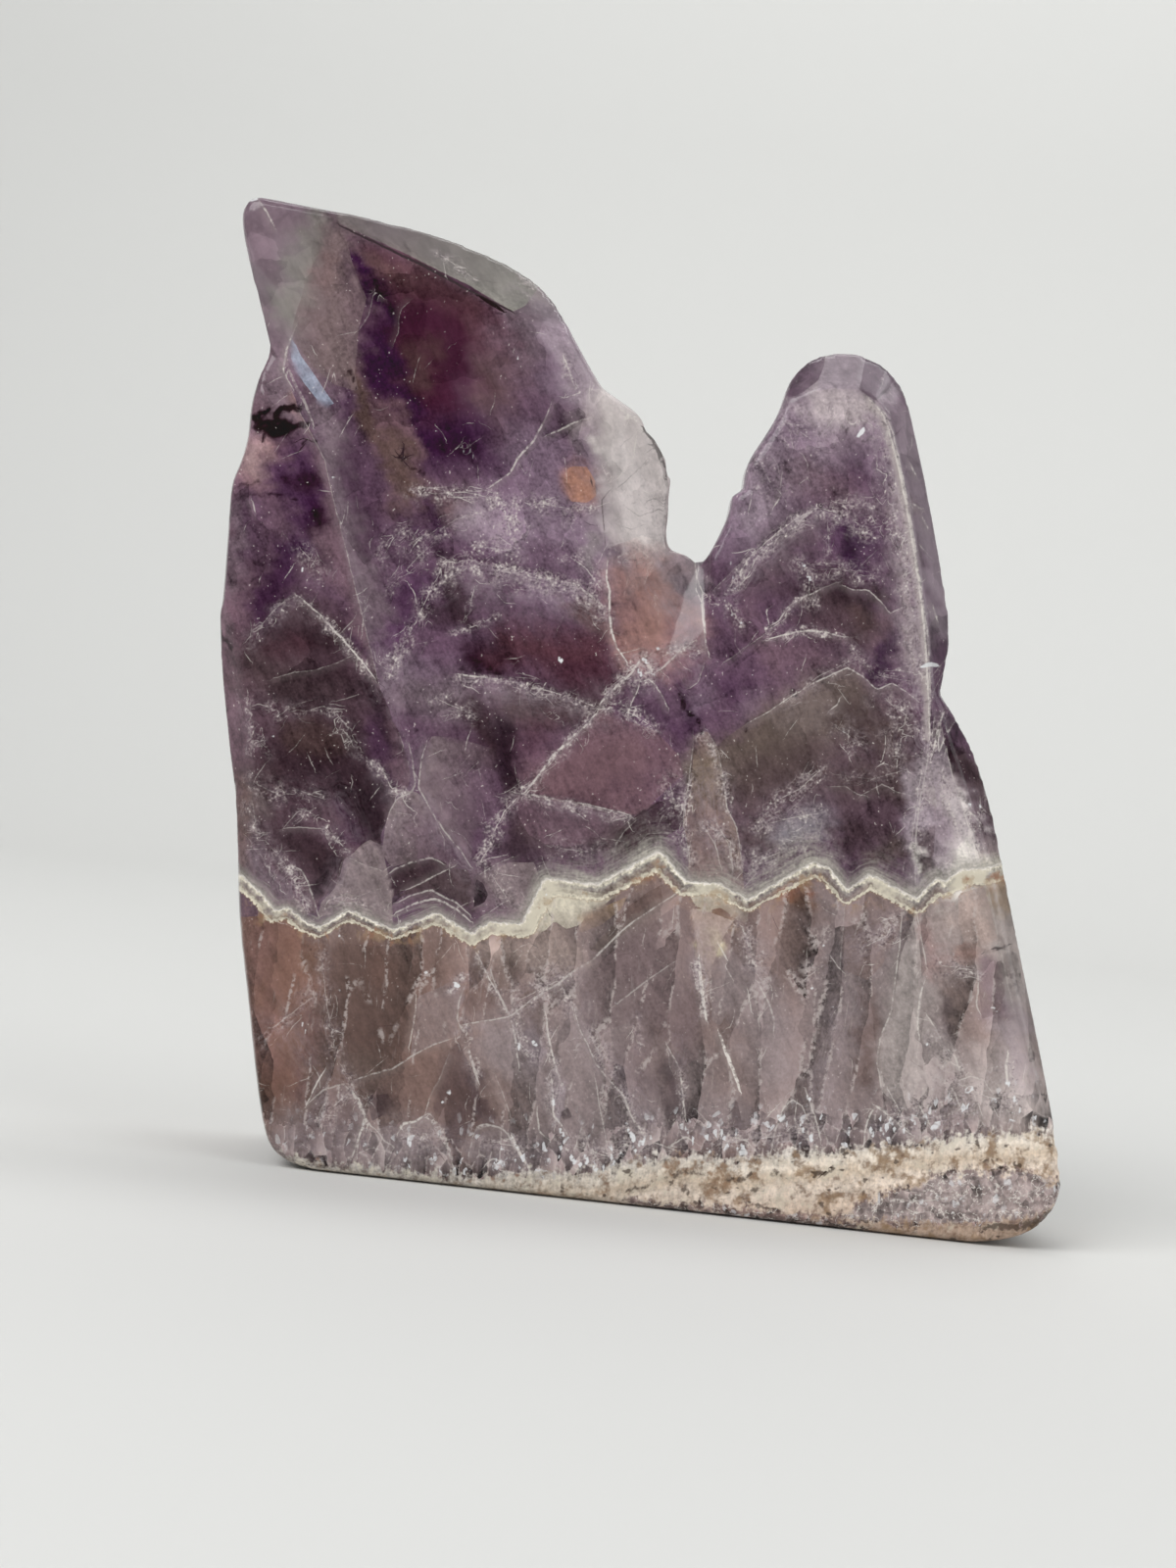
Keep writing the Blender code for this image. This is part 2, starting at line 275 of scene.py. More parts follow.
# %% Soft strokes of the main crystal and the root
MAIN = (
    ("tip mauve", 1, 50, 275, 235, 292, 330), ("clear quartz", 1, 38, 640, 395, 655, 470, 655, 540),
    ("pale quartz", 0.9, 16, 530, 292, 556, 312), ("dusty rose", 1, 34, 655, 590, 670, 650),
    ("pale lilac", 0.9, 13, 690, 572, 706, 596), ("salmon", 0.3, 14, 636, 652, 640, 668),
    ("pale quartz", 0.6, 26, 600, 400, 606, 440), ("clear quartz", 0.7, 12, 626, 440, 630, 480),
    ("lavender", 0.5, 7, 605, 415, 601, 455, 604, 500), ("salmon", 0.8, 13, 584, 488, 594, 500),
    ("amber", 0.5, 5, 578, 500, 590, 507), ("pale lilac", 0.9, 22, 845, 375, 880, 380),
    # a whitish band along the right ridge of the short point: painted sheen of light, partly a real
    # haze
    ("pale lilac", 0.7, 16, 925, 430, 955, 560, 968, 640),
    ("clear grey", 0.8, 17, 325, 222, 312, 262, 296, 320),
    ("ash", 1, 26, 345, 245, 335, 330, 345, 385), ("dusty rose", 0.35, 14, 335, 272, 330, 285),
    ("wine", 0.9, 30, 395, 275, 440, 310, 500, 335),
    ("dust brown", 0.5, 14, 378, 268, 430, 296, 475, 318), ("plum", 1, 48, 425, 340, 440, 400),
    ("wine", 0.7, 20, 475, 325, 500, 360, 500, 395), ("plum", 0.8, 14, 462, 330, 468, 370),
    ("dust brown", 0.45, 14, 430, 360, 425, 385),
    ("deep violet", 1, 9, 357, 262, 370, 292, 392, 322),
    ("black plum", 0.55, 10, 382, 298, 400, 318, 402, 345),
    ("deep violet", 0.9, 14, 385, 345, 398, 390, 415, 420),
    ("deep violet", 1, 24, 435, 455, 485, 452), ("black plum", 0.6, 12, 455, 455, 475, 462),
    ("violet", 0.8, 22, 500, 425, 510, 470), ("mauve", 0.9, 30, 530, 345, 525, 425),
    ("dust brown", 0.4, 16, 505, 380, 500, 400), ("lavender", 0.9, 24, 560, 335, 575, 395),
    ("pale lilac", 0.7, 16, 548, 318, 575, 345, 596, 395),
    ("grey mauve", 0.7, 14, 535, 330, 540, 360), ("purple", 0.8, 20, 545, 420, 570, 440),
    ("lavender", 0.8, 26, 545, 455, 565, 500), ("lavender", 0.6, 12, 600, 450, 598, 470),
    ("dust brown", 0.9, 14, 362, 385, 378, 425, 405, 465, 420, 500),
    ("purple", 0.9, 13, 338, 395, 362, 455, 398, 505, 415, 545),
    ("deep violet", 0.5, 7, 345, 405, 356, 425),
    ("rosy mauve", 0.7, 8, 396, 415, 410, 440, 425, 465),
    ("grey mauve", 1, 13, 326, 420, 342, 480, 352, 540, 366, 600, 376, 640),
    ("purple", 1, 17, 385, 520, 398, 590, 392, 640),
    ("grey mauve", 0.8, 12, 376, 590, 388, 640, 392, 670),
    ("dust brown", 0.6, 18, 415, 505, 455, 515), ("violet", 0.3, 20, 362, 480, 380, 540),
    ("dark smoke", 0.3, 26, 470, 740, 520, 790), ("violet", 0.8, 9, 432, 512, 440, 545),
    ("pale lilac", 0.6, 20, 485, 525, 515, 545), ("lavender", 1, 34, 530, 530, 600, 560),
    ("purple", 0.6, 16, 555, 560, 580, 572), ("violet", 0.5, 14, 470, 555, 500, 560),
    ("clear grey", 0.4, 10, 602, 550, 600, 575), ("dark smoke", 0.9, 20, 455, 592, 468, 628),
    ("grey mauve", 0.6, 10, 490, 600, 510, 615), ("purple", 1, 22, 505, 615, 565, 622),
    ("lavender", 0.6, 12, 550, 605, 580, 612), ("dust brown", 0.7, 14, 590, 620, 612, 642),
    ("violet", 0.9, 15, 425, 595, 412, 630, 400, 660), ("purple", 1, 16, 440, 655, 470, 655),
    ("black plum", 0.95, 14, 478, 668, 512, 678), ("wine", 1, 22, 520, 655, 600, 668),
    ("plum", 0.7, 14, 590, 688, 620, 692), ("wine", 0.5, 16, 560, 680, 620, 690),
    ("grey mauve", 1, 22, 412, 700, 455, 715), ("lavender", 0.5, 14, 405, 690, 440, 680),
    ("dark smoke", 1, 18, 480, 722, 500, 760), ("grey mauve", 0.7, 9, 500, 708, 530, 712),
    ("smoke", 1, 22, 525, 725, 600, 722), ("night smoke", 0.9, 13, 512, 745, 522, 800),
    ("wine", 0.5, 18, 545, 755, 560, 735), ("rosy mauve", 0.9, 26, 560, 800, 640, 770),
    ("violet", 0.6, 16, 660, 715, 690, 745), ("purple", 1, 14, 655, 700, 690, 720),
    ("deep violet", 0.6, 8, 700, 700, 716, 745), ("lavender", 0.7, 8, 722, 690, 712, 720),
    ("smoke", 0.9, 26, 540, 850, 640, 850), ("night smoke", 0.6, 14, 525, 865, 545, 900),
    ("grey mauve", 0.8, 26, 360, 890, 380, 920), ("smoke", 0.9, 24, 425, 890, 470, 910),
    ("stone grey", 0.6, 20, 510, 905, 530, 930),
    # the short point
    ("pale lilac", 1, 32, 835, 415, 870, 425), ("pale lilac", 0.6, 20, 800, 445, 830, 440),
    ("pale quartz", 0.6, 20, 838, 414, 872, 420), ("pale lilac", 0.8, 10, 898, 392, 912, 402),
    ("lavender", 0.9, 22, 800, 440, 830, 460), ("purple", 0.9, 16, 862, 455, 890, 480),
    ("deep violet", 0.55, 11, 870, 462, 880, 480), ("lavender", 1, 30, 778, 470, 755, 540),
    ("pale lilac", 0.35, 16, 785, 470, 765, 530), ("purple", 0.6, 14, 800, 480, 790, 505),
    ("mauve", 0.8, 18, 820, 480, 850, 500), ("lavender", 0.6, 16, 890, 440, 900, 480),
    ("purple", 1, 22, 735, 600, 745, 650), ("mauve", 0.5, 14, 765, 600, 760, 640),
    ("purple", 1, 26, 820, 545, 795, 575), ("smoke", 0.6, 18, 815, 545, 790, 590),
    ("violet", 1, 18, 855, 548, 885, 560), ("deep violet", 0.9, 9, 868, 545, 876, 575),
    ("grey mauve", 0.6, 12, 870, 515, 890, 520), ("smoke", 1, 26, 840, 615, 870, 640),
    ("mauve", 0.6, 14, 835, 625, 850, 640), ("dark smoke", 0.9, 12, 862, 602, 885, 612),
    ("dust brown", 0.6, 16, 875, 625, 895, 640), ("mauve", 0.6, 12, 895, 650, 905, 640),
    ("mauve", 0.7, 16, 800, 665, 830, 668), ("mauve", 0.7, 12, 780, 660, 790, 680),
    ("purple", 1, 24, 735, 690, 768, 720), ("violet", 0.6, 12, 745, 700, 760, 712),
    ("lavender", 0.45, 12, 755, 730, 770, 715), ("deep violet", 0.95, 9, 915, 652, 895, 688),
    ("grey mauve", 0.9, 14, 915, 560, 930, 640, 935, 690),
    ("olive smoke", 1, 24, 720, 790, 780, 760), ("olive smoke", 1, 34, 800, 745, 850, 720),
    ("stone grey", 0.5, 20, 815, 735, 840, 722), ("dark smoke", 0.9, 18, 865, 725, 890, 750),
    ("smoke", 0.9, 30, 760, 800, 830, 780), ("smoke", 0.9, 26, 870, 800, 910, 800),
    ("smoke", 1, 22, 905, 745, 925, 800), ("dark smoke", 0.5, 24, 830, 600, 880, 645),
    ("smoke", 0.8, 24, 770, 855, 800, 860), ("mist blue", 0.55, 16, 805, 848, 835, 838),
    ("smoke", 0.7, 24, 875, 850, 905, 850), ("dark smoke", 0.5, 10, 865, 840, 868, 860),
    ("olive smoke", 0.6, 10, 900, 870, 925, 862),
    ("pale lilac", 1, 13, 945, 790, 942, 840, 940, 900), ("mauve", 0.8, 7, 953, 815, 954, 860),
    # the milk stroke on this line is a painted highlight on the blade of the wedge
    ("smoke", 0.9, 6, 949, 850, 950, 888), ("milk", 1, 4, 939, 862, 941, 884),
    ("pale lilac", 1, 20, 965, 790, 980, 860), ("pale quartz", 0.8, 14, 962, 790, 985, 870),
    ("milk", 1, 16, 985, 872, 998, 892), ("clear quartz", 0.7, 9, 978, 815, 990, 850),
    ("smoke", 0.7, 5, 964, 884, 972, 880), ("milk", 0.7, 12, 970, 888, 985, 878),
    ("smoke", 1, 11, 985, 775, 1005, 820, 1012, 850), ("dark smoke", 1, 9, 968, 752, 985, 790),
    ("cream", 0.8, 10, 1012, 882, 1024, 886), ("stone grey", 0.8, 8, 1012, 866, 1022, 868),
    ("pale lilac", 0.3, 24, 850, 422, 852, 450), ("pale lilac", 0.25, 30, 800, 490, 780, 540),
    # a pale strip by the same ridge: partly painted sheen of light
    ("pale quartz", 0.3, 9, 918, 500, 926, 560, 934, 640, 938, 700),
    ("dark smoke", 0.2, 26, 372, 450, 376, 550), ("salmon", 0.3, 26, 670, 590, 668, 640),
)
ROOT = (
    ("stone grey", 0.8, 70, 620, 990, 620, 1150), ("stone grey", 0.9, 95, 880, 960, 930, 1110),
    ("pale quartz", 0.5, 50, 1000, 940, 1040, 1110), ("warm taupe", 1, 40, 265, 950, 275, 1100),
    ("dusty rose", 0.35, 20, 258, 960, 262, 1080), ("warm taupe", 1, 14, 300, 950, 305, 1010),
    ("amber", 0.5, 8, 321, 975, 319, 992), ("wine", 0.35, 10, 316, 1032, 320, 1078),
    ("wine", 0.35, 9, 304, 1095, 310, 1118), ("amber", 0.35, 9, 262, 1008, 262, 1022),
    ("dust brown", 0.9, 40, 370, 990, 370, 1060), ("warm taupe", 0.6, 15, 385, 968, 388, 990),
    ("dust brown", 0.8, 22, 375, 1050, 400, 1068), ("olive smoke", 0.8, 14, 360, 1085, 385, 1092),
    ("taupe", 1, 24, 420, 965, 450, 990), ("taupe", 0.6, 16, 435, 1040, 450, 1050),
    ("taupe", 1, 24, 400, 1110, 450, 1100), ("dark smoke", 0.5, 9, 384, 1118, 398, 1124),
    ("dust brown", 0.9, 20, 470, 1110, 475, 1150), ("dark smoke", 0.7, 7, 486, 1100, 492, 1140),
    ("rosy beige", 0.7, 14, 495, 968, 560, 972), ("rosy beige", 0.6, 16, 550, 985, 585, 975),
    ("olive smoke", 0.5, 10, 508, 980, 512, 1000), ("dust brown", 0.6, 16, 480, 1015, 500, 1025),
    ("stone grey", 1, 30, 510, 1060, 560, 1120), ("pale lilac", 0.5, 10, 538, 1055, 543, 1080),
    ("stone grey", 0.7, 26, 590, 1050, 600, 1130), ("ash", 1, 34, 640, 980, 680, 1030),
    ("ash", 0.7, 22, 650, 1080, 650, 1110), ("dust brown", 0.5, 16, 690, 1040, 695, 1060),
    ("dark smoke", 0.7, 9, 688, 1090, 686, 1122), ("stone grey", 0.8, 24, 715, 1090, 725, 1130),
    ("smoke", 0.6, 9, 745, 1040, 748, 1048), ("stone grey", 0.9, 16, 738, 985, 742, 1020),
    ("smoke", 0.6, 8, 750, 1125, 752, 1155), ("stone grey", 1, 34, 775, 1000, 785, 1090),
    ("taupe", 0.8, 28, 800, 940, 815, 1000), ("stone grey", 0.8, 26, 870, 940, 890, 970),
    ("stone grey", 0.8, 30, 850, 1010, 865, 1060), ("stone grey", 0.7, 22, 845, 1090, 850, 1140),
    ("dust brown", 0.7, 12, 882, 1020, 885, 1100), ("pale quartz", 0.5, 26, 930, 1000, 940, 1110),
    ("stone grey", 0.8, 18, 955, 1050, 965, 1080), ("dusty rose", 0.35, 12, 950, 950, 955, 985),
    ("taupe", 0.7, 18, 985, 1010, 1000, 1050), ("mauve", 0.7, 11, 1010, 985, 1014, 1030),
    ("dark smoke", 0.5, 6, 968, 1020, 978, 1050), ("pale lilac", 0.5, 18, 1030, 1020, 1040, 1110),
    ("pale quartz", 0.6, 16, 1025, 930, 1045, 1010),
    ("pale quartz", 0.5, 24, 1010, 1120, 1055, 1130), ("stone grey", 1, 28, 300, 1165, 420, 1175),
    ("stone grey", 0.9, 26, 500, 1180, 620, 1165), ("stone grey", 0.8, 22, 650, 1140, 850, 1150),
    ("sand", 0.5, 8, 720, 934, 738, 942), ("amber", 0.6, 7, 736, 926, 750, 921),
    ("bone", 0.9, 6, 726, 952, 730, 968), ("amber", 0.6, 9, 796, 912, 822, 918),
    ("rosy beige", 0.6, 12, 575, 935, 560, 960, 580, 985),
    ("rosy beige", 0.9, 13, 988, 935, 1002, 955), ("milk", 0.95, 9, 975, 912, 990, 908, 1004, 910),
    ("milk", 0.5, 10, 985, 922, 1000, 926), ("beige", 0.8, 9, 1016, 905, 1026, 925),
    ("rust", 0.7, 7, 800, 908, 818, 902, 830, 906), ("salmon", 0.5, 5, 806, 912, 816, 908),
    ("warm taupe", 0.35, 40, 425, 1000, 425, 1110), ("warm taupe", 0.2, 40, 315, 990, 315, 1110),
)
LEFT = (
    ("grey mauve", 1, 30, 280, 375, 300, 405), ("dusty rose", 0.4, 10, 302, 410, 318, 430),
    ("lavender", 0.7, 10, 262, 442, 262, 456), ("dusty rose", 0.6, 20, 268, 462, 272, 485),
    ("stone grey", 0.5, 16, 262, 466, 275, 480), ("violet", 1, 20, 300, 465, 295, 500, 310, 520),
    ("deep violet", 0.8, 14, 318, 505, 312, 535), ("black plum", 0.8, 9, 306, 488, 312, 492),
    ("black plum", 0.8, 9, 322, 522, 324, 535), ("purple", 1, 24, 255, 515, 262, 575),
    ("grey mauve", 0.7, 12, 242, 520, 240, 600), ("mauve", 0.5, 12, 262, 585, 248, 615),
    ("smoke", 0.85, 30, 305, 580, 300, 610), ("violet", 1, 18, 300, 560, 290, 590, 268, 625),
    ("deep violet", 0.6, 10, 298, 562, 286, 592, 266, 618), ("mauve", 0.8, 16, 335, 560, 345, 600),
    ("purple", 0.8, 14, 318, 595, 345, 620), ("dark smoke", 1, 26, 285, 655, 335, 650),
    ("wine", 0.5, 14, 285, 665, 300, 660), ("smoke", 1, 24, 255, 680, 290, 695),
    ("deep violet", 0.6, 8, 355, 645, 372, 665), ("dark smoke", 0.8, 20, 340, 690, 375, 700),
    ("smoke", 0.9, 20, 300, 705, 330, 710), ("dark smoke", 0.8, 40, 290, 770, 345, 770),
    ("dark smoke", 0.55, 40, 300, 790, 340, 760), ("dust brown", 0.6, 18, 310, 745, 330, 752),
    ("night smoke", 0.8, 15, 385, 715, 400, 760), ("violet", 0.7, 14, 378, 745, 398, 790),
    ("dark smoke", 1, 24, 365, 800, 375, 840), ("night smoke", 0.6, 14, 385, 815, 375, 845),
    ("smoke", 0.9, 22, 262, 800, 262, 850), ("stone grey", 0.4, 12, 252, 810, 256, 835),
    ("violet", 0.5, 12, 345, 828, 355, 855), ("dark smoke", 1, 24, 300, 860, 330, 880),
    ("night smoke", 0.7, 8, 340, 880, 332, 905), ("grey mauve", 0.8, 18, 255, 870, 275, 905),
    ("dust brown", 0.7, 12, 240, 800, 243, 880), ("night smoke", 0.35, 46, 310, 700, 350, 800),
    ("dark smoke", 0.3, 30, 275, 590, 300, 630),
)
print(len(MAIN) + len(ROOT) + len(LEFT), "strokes of colour")

# %% [markdown]
# ## Facets inside the stone
# Old crystal faces and healed breaks show as flat patches with clean edges. Each is an outline on
# the drawing plane with a colour, how strongly it covers, and where it fades: the line from its
# full end to its faint end. Outlines that touch go into different sets, because each point keeps
# only its nearest outline of a set. One outline is a painted highlight, not a face: the bluish
# streak of light on the groove below the left notch.

# %% Outlines of the facets
LEFT_CRYSTAL = (
    150, 300, 268, 340, 276, 352, 290, 375, 306, 421, 320, 445, 331, 469, 337, 491, 342, 517, 353,
    560, 365, 610, 385, 690, 388, 703, 397, 722, 400, 735, 408, 748, 414, 770, 419, 790, 417, 802,
    405, 812, 397, 828, 393, 842, 388, 853, 390, 862, 377, 858, 366, 868, 352, 876, 347, 893, 340,
    908, 326, 918, 322, 932, 150, 940,
)
FACETS = (
    # set, colour, cover, fade line or None, outline
    (0, "clear grey", 0.95, (540, 320, 240, 190), (338, 190, 346, 228, 420, 262, 480, 292, 523, 318,
     536, 312, 548, 296, 552, 280, 540, 262, 450, 190)),
    (0, "stone grey", 0.55, (440, 790, 510, 790), (441, 751, 460, 753, 480, 757, 506, 765, 522, 800,
     505, 832, 484, 850, 480, 882, 470, 868, 455, 850, 440, 828, 427, 806, 428, 785, 433, 765)),
    (0, "rosy mauve", 0.7, None, (537, 807, 550, 790, 570, 767, 590, 745, 604, 736, 611, 722, 640,
     735, 668, 745, 692, 770, 698, 790, 684, 802, 660, 825, 645, 832, 600, 821, 565, 814)),
    (0, "stone grey", 0.75, None, (350, 878, 360, 871, 368, 862, 378, 857, 391, 863, 393, 880, 398,
     900, 400, 918, 401, 946, 380, 938, 357, 926, 340, 932, 323, 937, 328, 920, 341, 908, 347,
     893)),
    (0, "dark smoke", 0.7, None, (397, 895, 407, 886, 425, 880, 445, 876, 457, 881, 450, 890, 430,
     899, 414, 907, 402, 915)),
    (0, "night smoke", 0.9, None, (486, 896, 493, 901, 498, 912, 495, 921, 483, 926, 484, 908)),
    (0, "dark smoke", 0.8, None, (646, 834, 672, 818, 690, 814, 699, 826, 697, 843, 672, 858, 640,
     874, 624, 880, 623, 862, 632, 846)),
    (0, "olive smoke", 0.5, (820, 700, 900, 850), (700, 796, 742, 752, 763, 737, 785, 724, 808, 709,
     835, 695, 864, 681, 880, 690, 895, 705, 910, 698, 935, 712, 944, 752, 938, 800, 932, 900, 700,
     900)),
    (0, "pale lilac", 0.9, None, (846, 355, 882, 358, 884, 364, 877, 398, 851, 396, 833, 399, 838,
     382, 840, 370)),
    (0, "pale quartz", 0.5, None, (935, 928, 928, 950, 919, 975, 915, 1000, 911, 1030, 898, 1060,
     894, 1082, 900, 1114, 925, 1135, 940, 1100, 936, 1055, 941, 1015, 940, 985)),
    (0, "lens grey", 0.75, None, (856, 1243, 880, 1227, 905, 1221, 930, 1212, 955, 1200, 985, 1195,
     1020, 1194, 1050, 1197, 1073, 1204, 1084, 1218, 1075, 1236, 1050, 1244, 1010, 1247, 960, 1248,
     900, 1246)),
    (0, "dust brown", 0.45, None, (332, 962, 400, 966, 418, 985, 424, 1016, 421, 1050, 412, 1072,
     385, 1088, 358, 1100, 345, 1075, 337, 1040, 333, 1000)),
    (0, "rosy beige", 0.75, (712, 960, 727, 1060), (705, 926, 722, 930, 748, 940, 736, 960, 729,
     980, 723, 1010, 722, 1041, 716, 1015, 714, 985, 709, 950)),
    (0, "salmon", 0.7, None, (571, 484, 583, 476, 599, 476, 607, 490, 609, 505, 600, 513, 583, 512,
     573, 500)),
    # a painted highlight: the bluish streak of light on the groove below the left notch
    (0, "painted highlight blue", 0.65, None, (297, 345, 302, 352, 308, 365, 322, 384, 336, 405, 341, 412, 334,
     414, 326, 411, 314, 396, 303, 380, 297, 366)),
    (0, "ash", 0.5, None, (608, 984, 640, 960, 668, 940, 690, 924, 703, 930, 708, 960, 711, 985,
     710, 1010, 714, 1040, 708, 1060, 696, 1075, 682, 1062, 662, 1036, 640, 1044, 622, 1050, 606,
     1062, 596, 1040, 588, 1010)),
    (0, "ash", 0.5, None, (318, 1126, 334, 1112, 350, 1107, 362, 1110, 371, 1128, 379, 1146, 372,
     1164, 364, 1190, 300, 1186, 304, 1150)),
    (0, "stone grey", 0.6, None, (386, 1152, 398, 1148, 409, 1152, 421, 1144, 432, 1138, 440, 1139,
     448, 1151, 457, 1167, 464, 1186, 456, 1200, 390, 1196, 384, 1172)),
    (0, "stone grey", 0.4, None, (480, 1174, 484, 1152, 492, 1147, 511, 1150, 526, 1166, 539, 1188,
     546, 1206, 482, 1202)),
    (0, "stone grey", 0.4, None, (884, 1168, 885, 1152, 890, 1137, 897, 1131, 904, 1138, 908, 1150,
     905, 1166)),
    (0, "taupe", 0.5, None, (862, 924, 888, 904, 924, 926, 918, 950, 900, 985, 885, 1000, 862, 990,
     858, 960)),
    (0, "cream", 0.95, (570, 925, 590, 970), (556, 908, 564, 904, 590, 908, 615, 912, 628, 914, 612,
     926, 598, 934, 592, 944, 578, 948, 566, 940, 556, 950, 544, 954, 534, 950, 548, 926)),
    (0, "cream", 0.8, (728, 905, 732, 950), (700, 906, 716, 901, 732, 904, 748, 914, 764, 928, 762,
     944, 748, 936, 736, 926, 720, 930, 708, 922)),
    (1, "ash", 0.6, None, (346, 230, 354, 246, 360, 270, 374, 305, 366, 335, 362, 380, 366, 400,
     340, 392, 318, 372, 300, 348, 298, 335, 303, 318, 310, 295, 320, 268, 333, 245)),
    (1, "stone grey", 0.75, (405, 820, 460, 880), (404, 816, 415, 807, 426, 808, 440, 828, 455, 850,
     472, 870, 470, 884, 455, 881, 440, 875, 420, 879, 400, 885, 392, 875, 391, 860, 393, 843, 398,
     826)),
    (1, "mauve", 0.7, None, (525, 810, 545, 812, 565, 815, 600, 822, 644, 833, 622, 839, 618, 857,
     580, 864, 556, 861, 540, 852, 530, 835)),
    (1, "smoke", 0.75, None, (404, 916, 420, 905, 440, 895, 458, 885, 478, 888, 482, 906, 478, 926,
     460, 914, 443, 908, 420, 912)),
    (1, "stone grey", 0.5, None, (490, 893, 520, 880, 545, 880, 551, 897, 541, 930, 530, 942, 512,
     920, 499, 905)),
    (1, "purple", 0.7, None, (803, 406, 812, 382, 830, 363, 846, 356, 840, 375, 835, 388, 822, 398,
     812, 404)),
    (1, "purple", 0.7, None, (884, 360, 903, 367, 917, 381, 905, 399, 893, 409, 877, 398)),
    (1, "dust brown", 0.6, None, (641, 925, 665, 908, 690, 895, 700, 904, 680, 918, 655, 936, 636,
     948, 625, 940)),
    (1, "sand", 0.5, (604, 926, 612, 952), (588, 934, 610, 928, 640, 915, 634, 928, 612, 945, 592,
     952)),
    (1, "rosy beige", 0.9, (990, 925, 988, 985), (978, 912, 1004, 904, 1010, 925, 1018, 958, 1004,
     964, 984, 962, 978, 940)),
    (1, "stone grey", 0.5, None, (426, 1017, 448, 1008, 470, 996, 475, 1018, 467, 1034, 467, 1056,
     440, 1068, 419, 1076, 422, 1045)),
    (1, "beige", 0.28, None, (708, 752, 722, 746, 732, 765, 739, 800, 742, 825, 752, 845, 757, 880,
     760, 912, 735, 905, 712, 905, 702, 893, 703, 866, 697, 840, 706, 800)),
    (1, "dust brown", 0.45, None, (330, 1086, 340, 1078, 352, 1090, 358, 1102, 338, 1110, 322, 1116,
     326, 1100)),
    (1, "smoke", 0.5, None, (450, 1080, 468, 1062, 480, 1090, 488, 1110, 492, 1140, 478, 1150, 472,
     1172, 462, 1172, 452, 1150, 442, 1132, 444, 1110)),
    (1, "olive smoke", 0.5, None, (602, 970, 622, 948, 640, 930, 668, 912, 690, 903, 696, 910, 668,
     932, 640, 950, 612, 972)),
    (1, "pale lilac", 0.4, None, (561, 1092, 570, 1088, 578, 1110, 575, 1132, 568, 1148, 563,
     1130)),
    (1, "smoke", 0.45, None, (688, 1088, 696, 1096, 698, 1130, 690, 1146, 676, 1140, 674, 1112)),
    (1, "ash", 0.5, None, (690, 1040, 702, 1022, 712, 1040, 718, 1050, 712, 1080, 698, 1088, 688,
     1066)),
    (1, "stone grey", 0.5, None, (726, 1000, 748, 1002, 758, 1012, 742, 1034, 734, 1048, 726,
     1040)),
    (1, "smoke", 0.5, None, (744, 1128, 752, 1122, 758, 1150, 752, 1164, 744, 1158)),
    (1, "stone grey", 0.45, None, (824, 1100, 838, 1068, 862, 1020, 872, 1008, 866, 1050, 852, 1090,
     850, 1130, 836, 1160, 826, 1140)),
    (1, "rust", 0.35, (984, 975, 984, 992), (972, 966, 990, 962, 1002, 968, 1000, 984, 984, 986,
     972, 980)),
    (1, "ash", 0.5, None, (998, 1000, 1018, 980, 1026, 1010, 1020, 1034, 1002, 1040)),
    (1, "pale quartz", 0.35, None, (944, 1034, 960, 1050, 976, 1070, 984, 1092, 966, 1096, 948,
     1080, 940, 1060)),
    (1, "dark smoke", 0.7, None, (374, 1118, 396, 1116, 402, 1132, 380, 1144)),
    (1, "night smoke", 0.75, None, (572, 1132, 580, 1130, 584, 1140, 574, 1144)),
    (1, "milk", 0.8, None, (976, 868, 990, 852, 998, 870, 1003, 893, 984, 894, 973, 888)),
    (1, "rosy quartz", 0.85, (634, 470, 600, 474), (598, 396, 628, 398, 655, 420, 700, 470, 700,
     552, 676, 553, 655, 546, 640, 552, 620, 560, 608, 530, 602, 505, 598, 470, 598, 430)),
    (1, "pale lilac", 0.5, None, (960, 745, 972, 790, 984, 830, 989, 850, 975, 867, 971, 889, 962,
     905, 952, 880, 956, 820, 950, 780)),
)
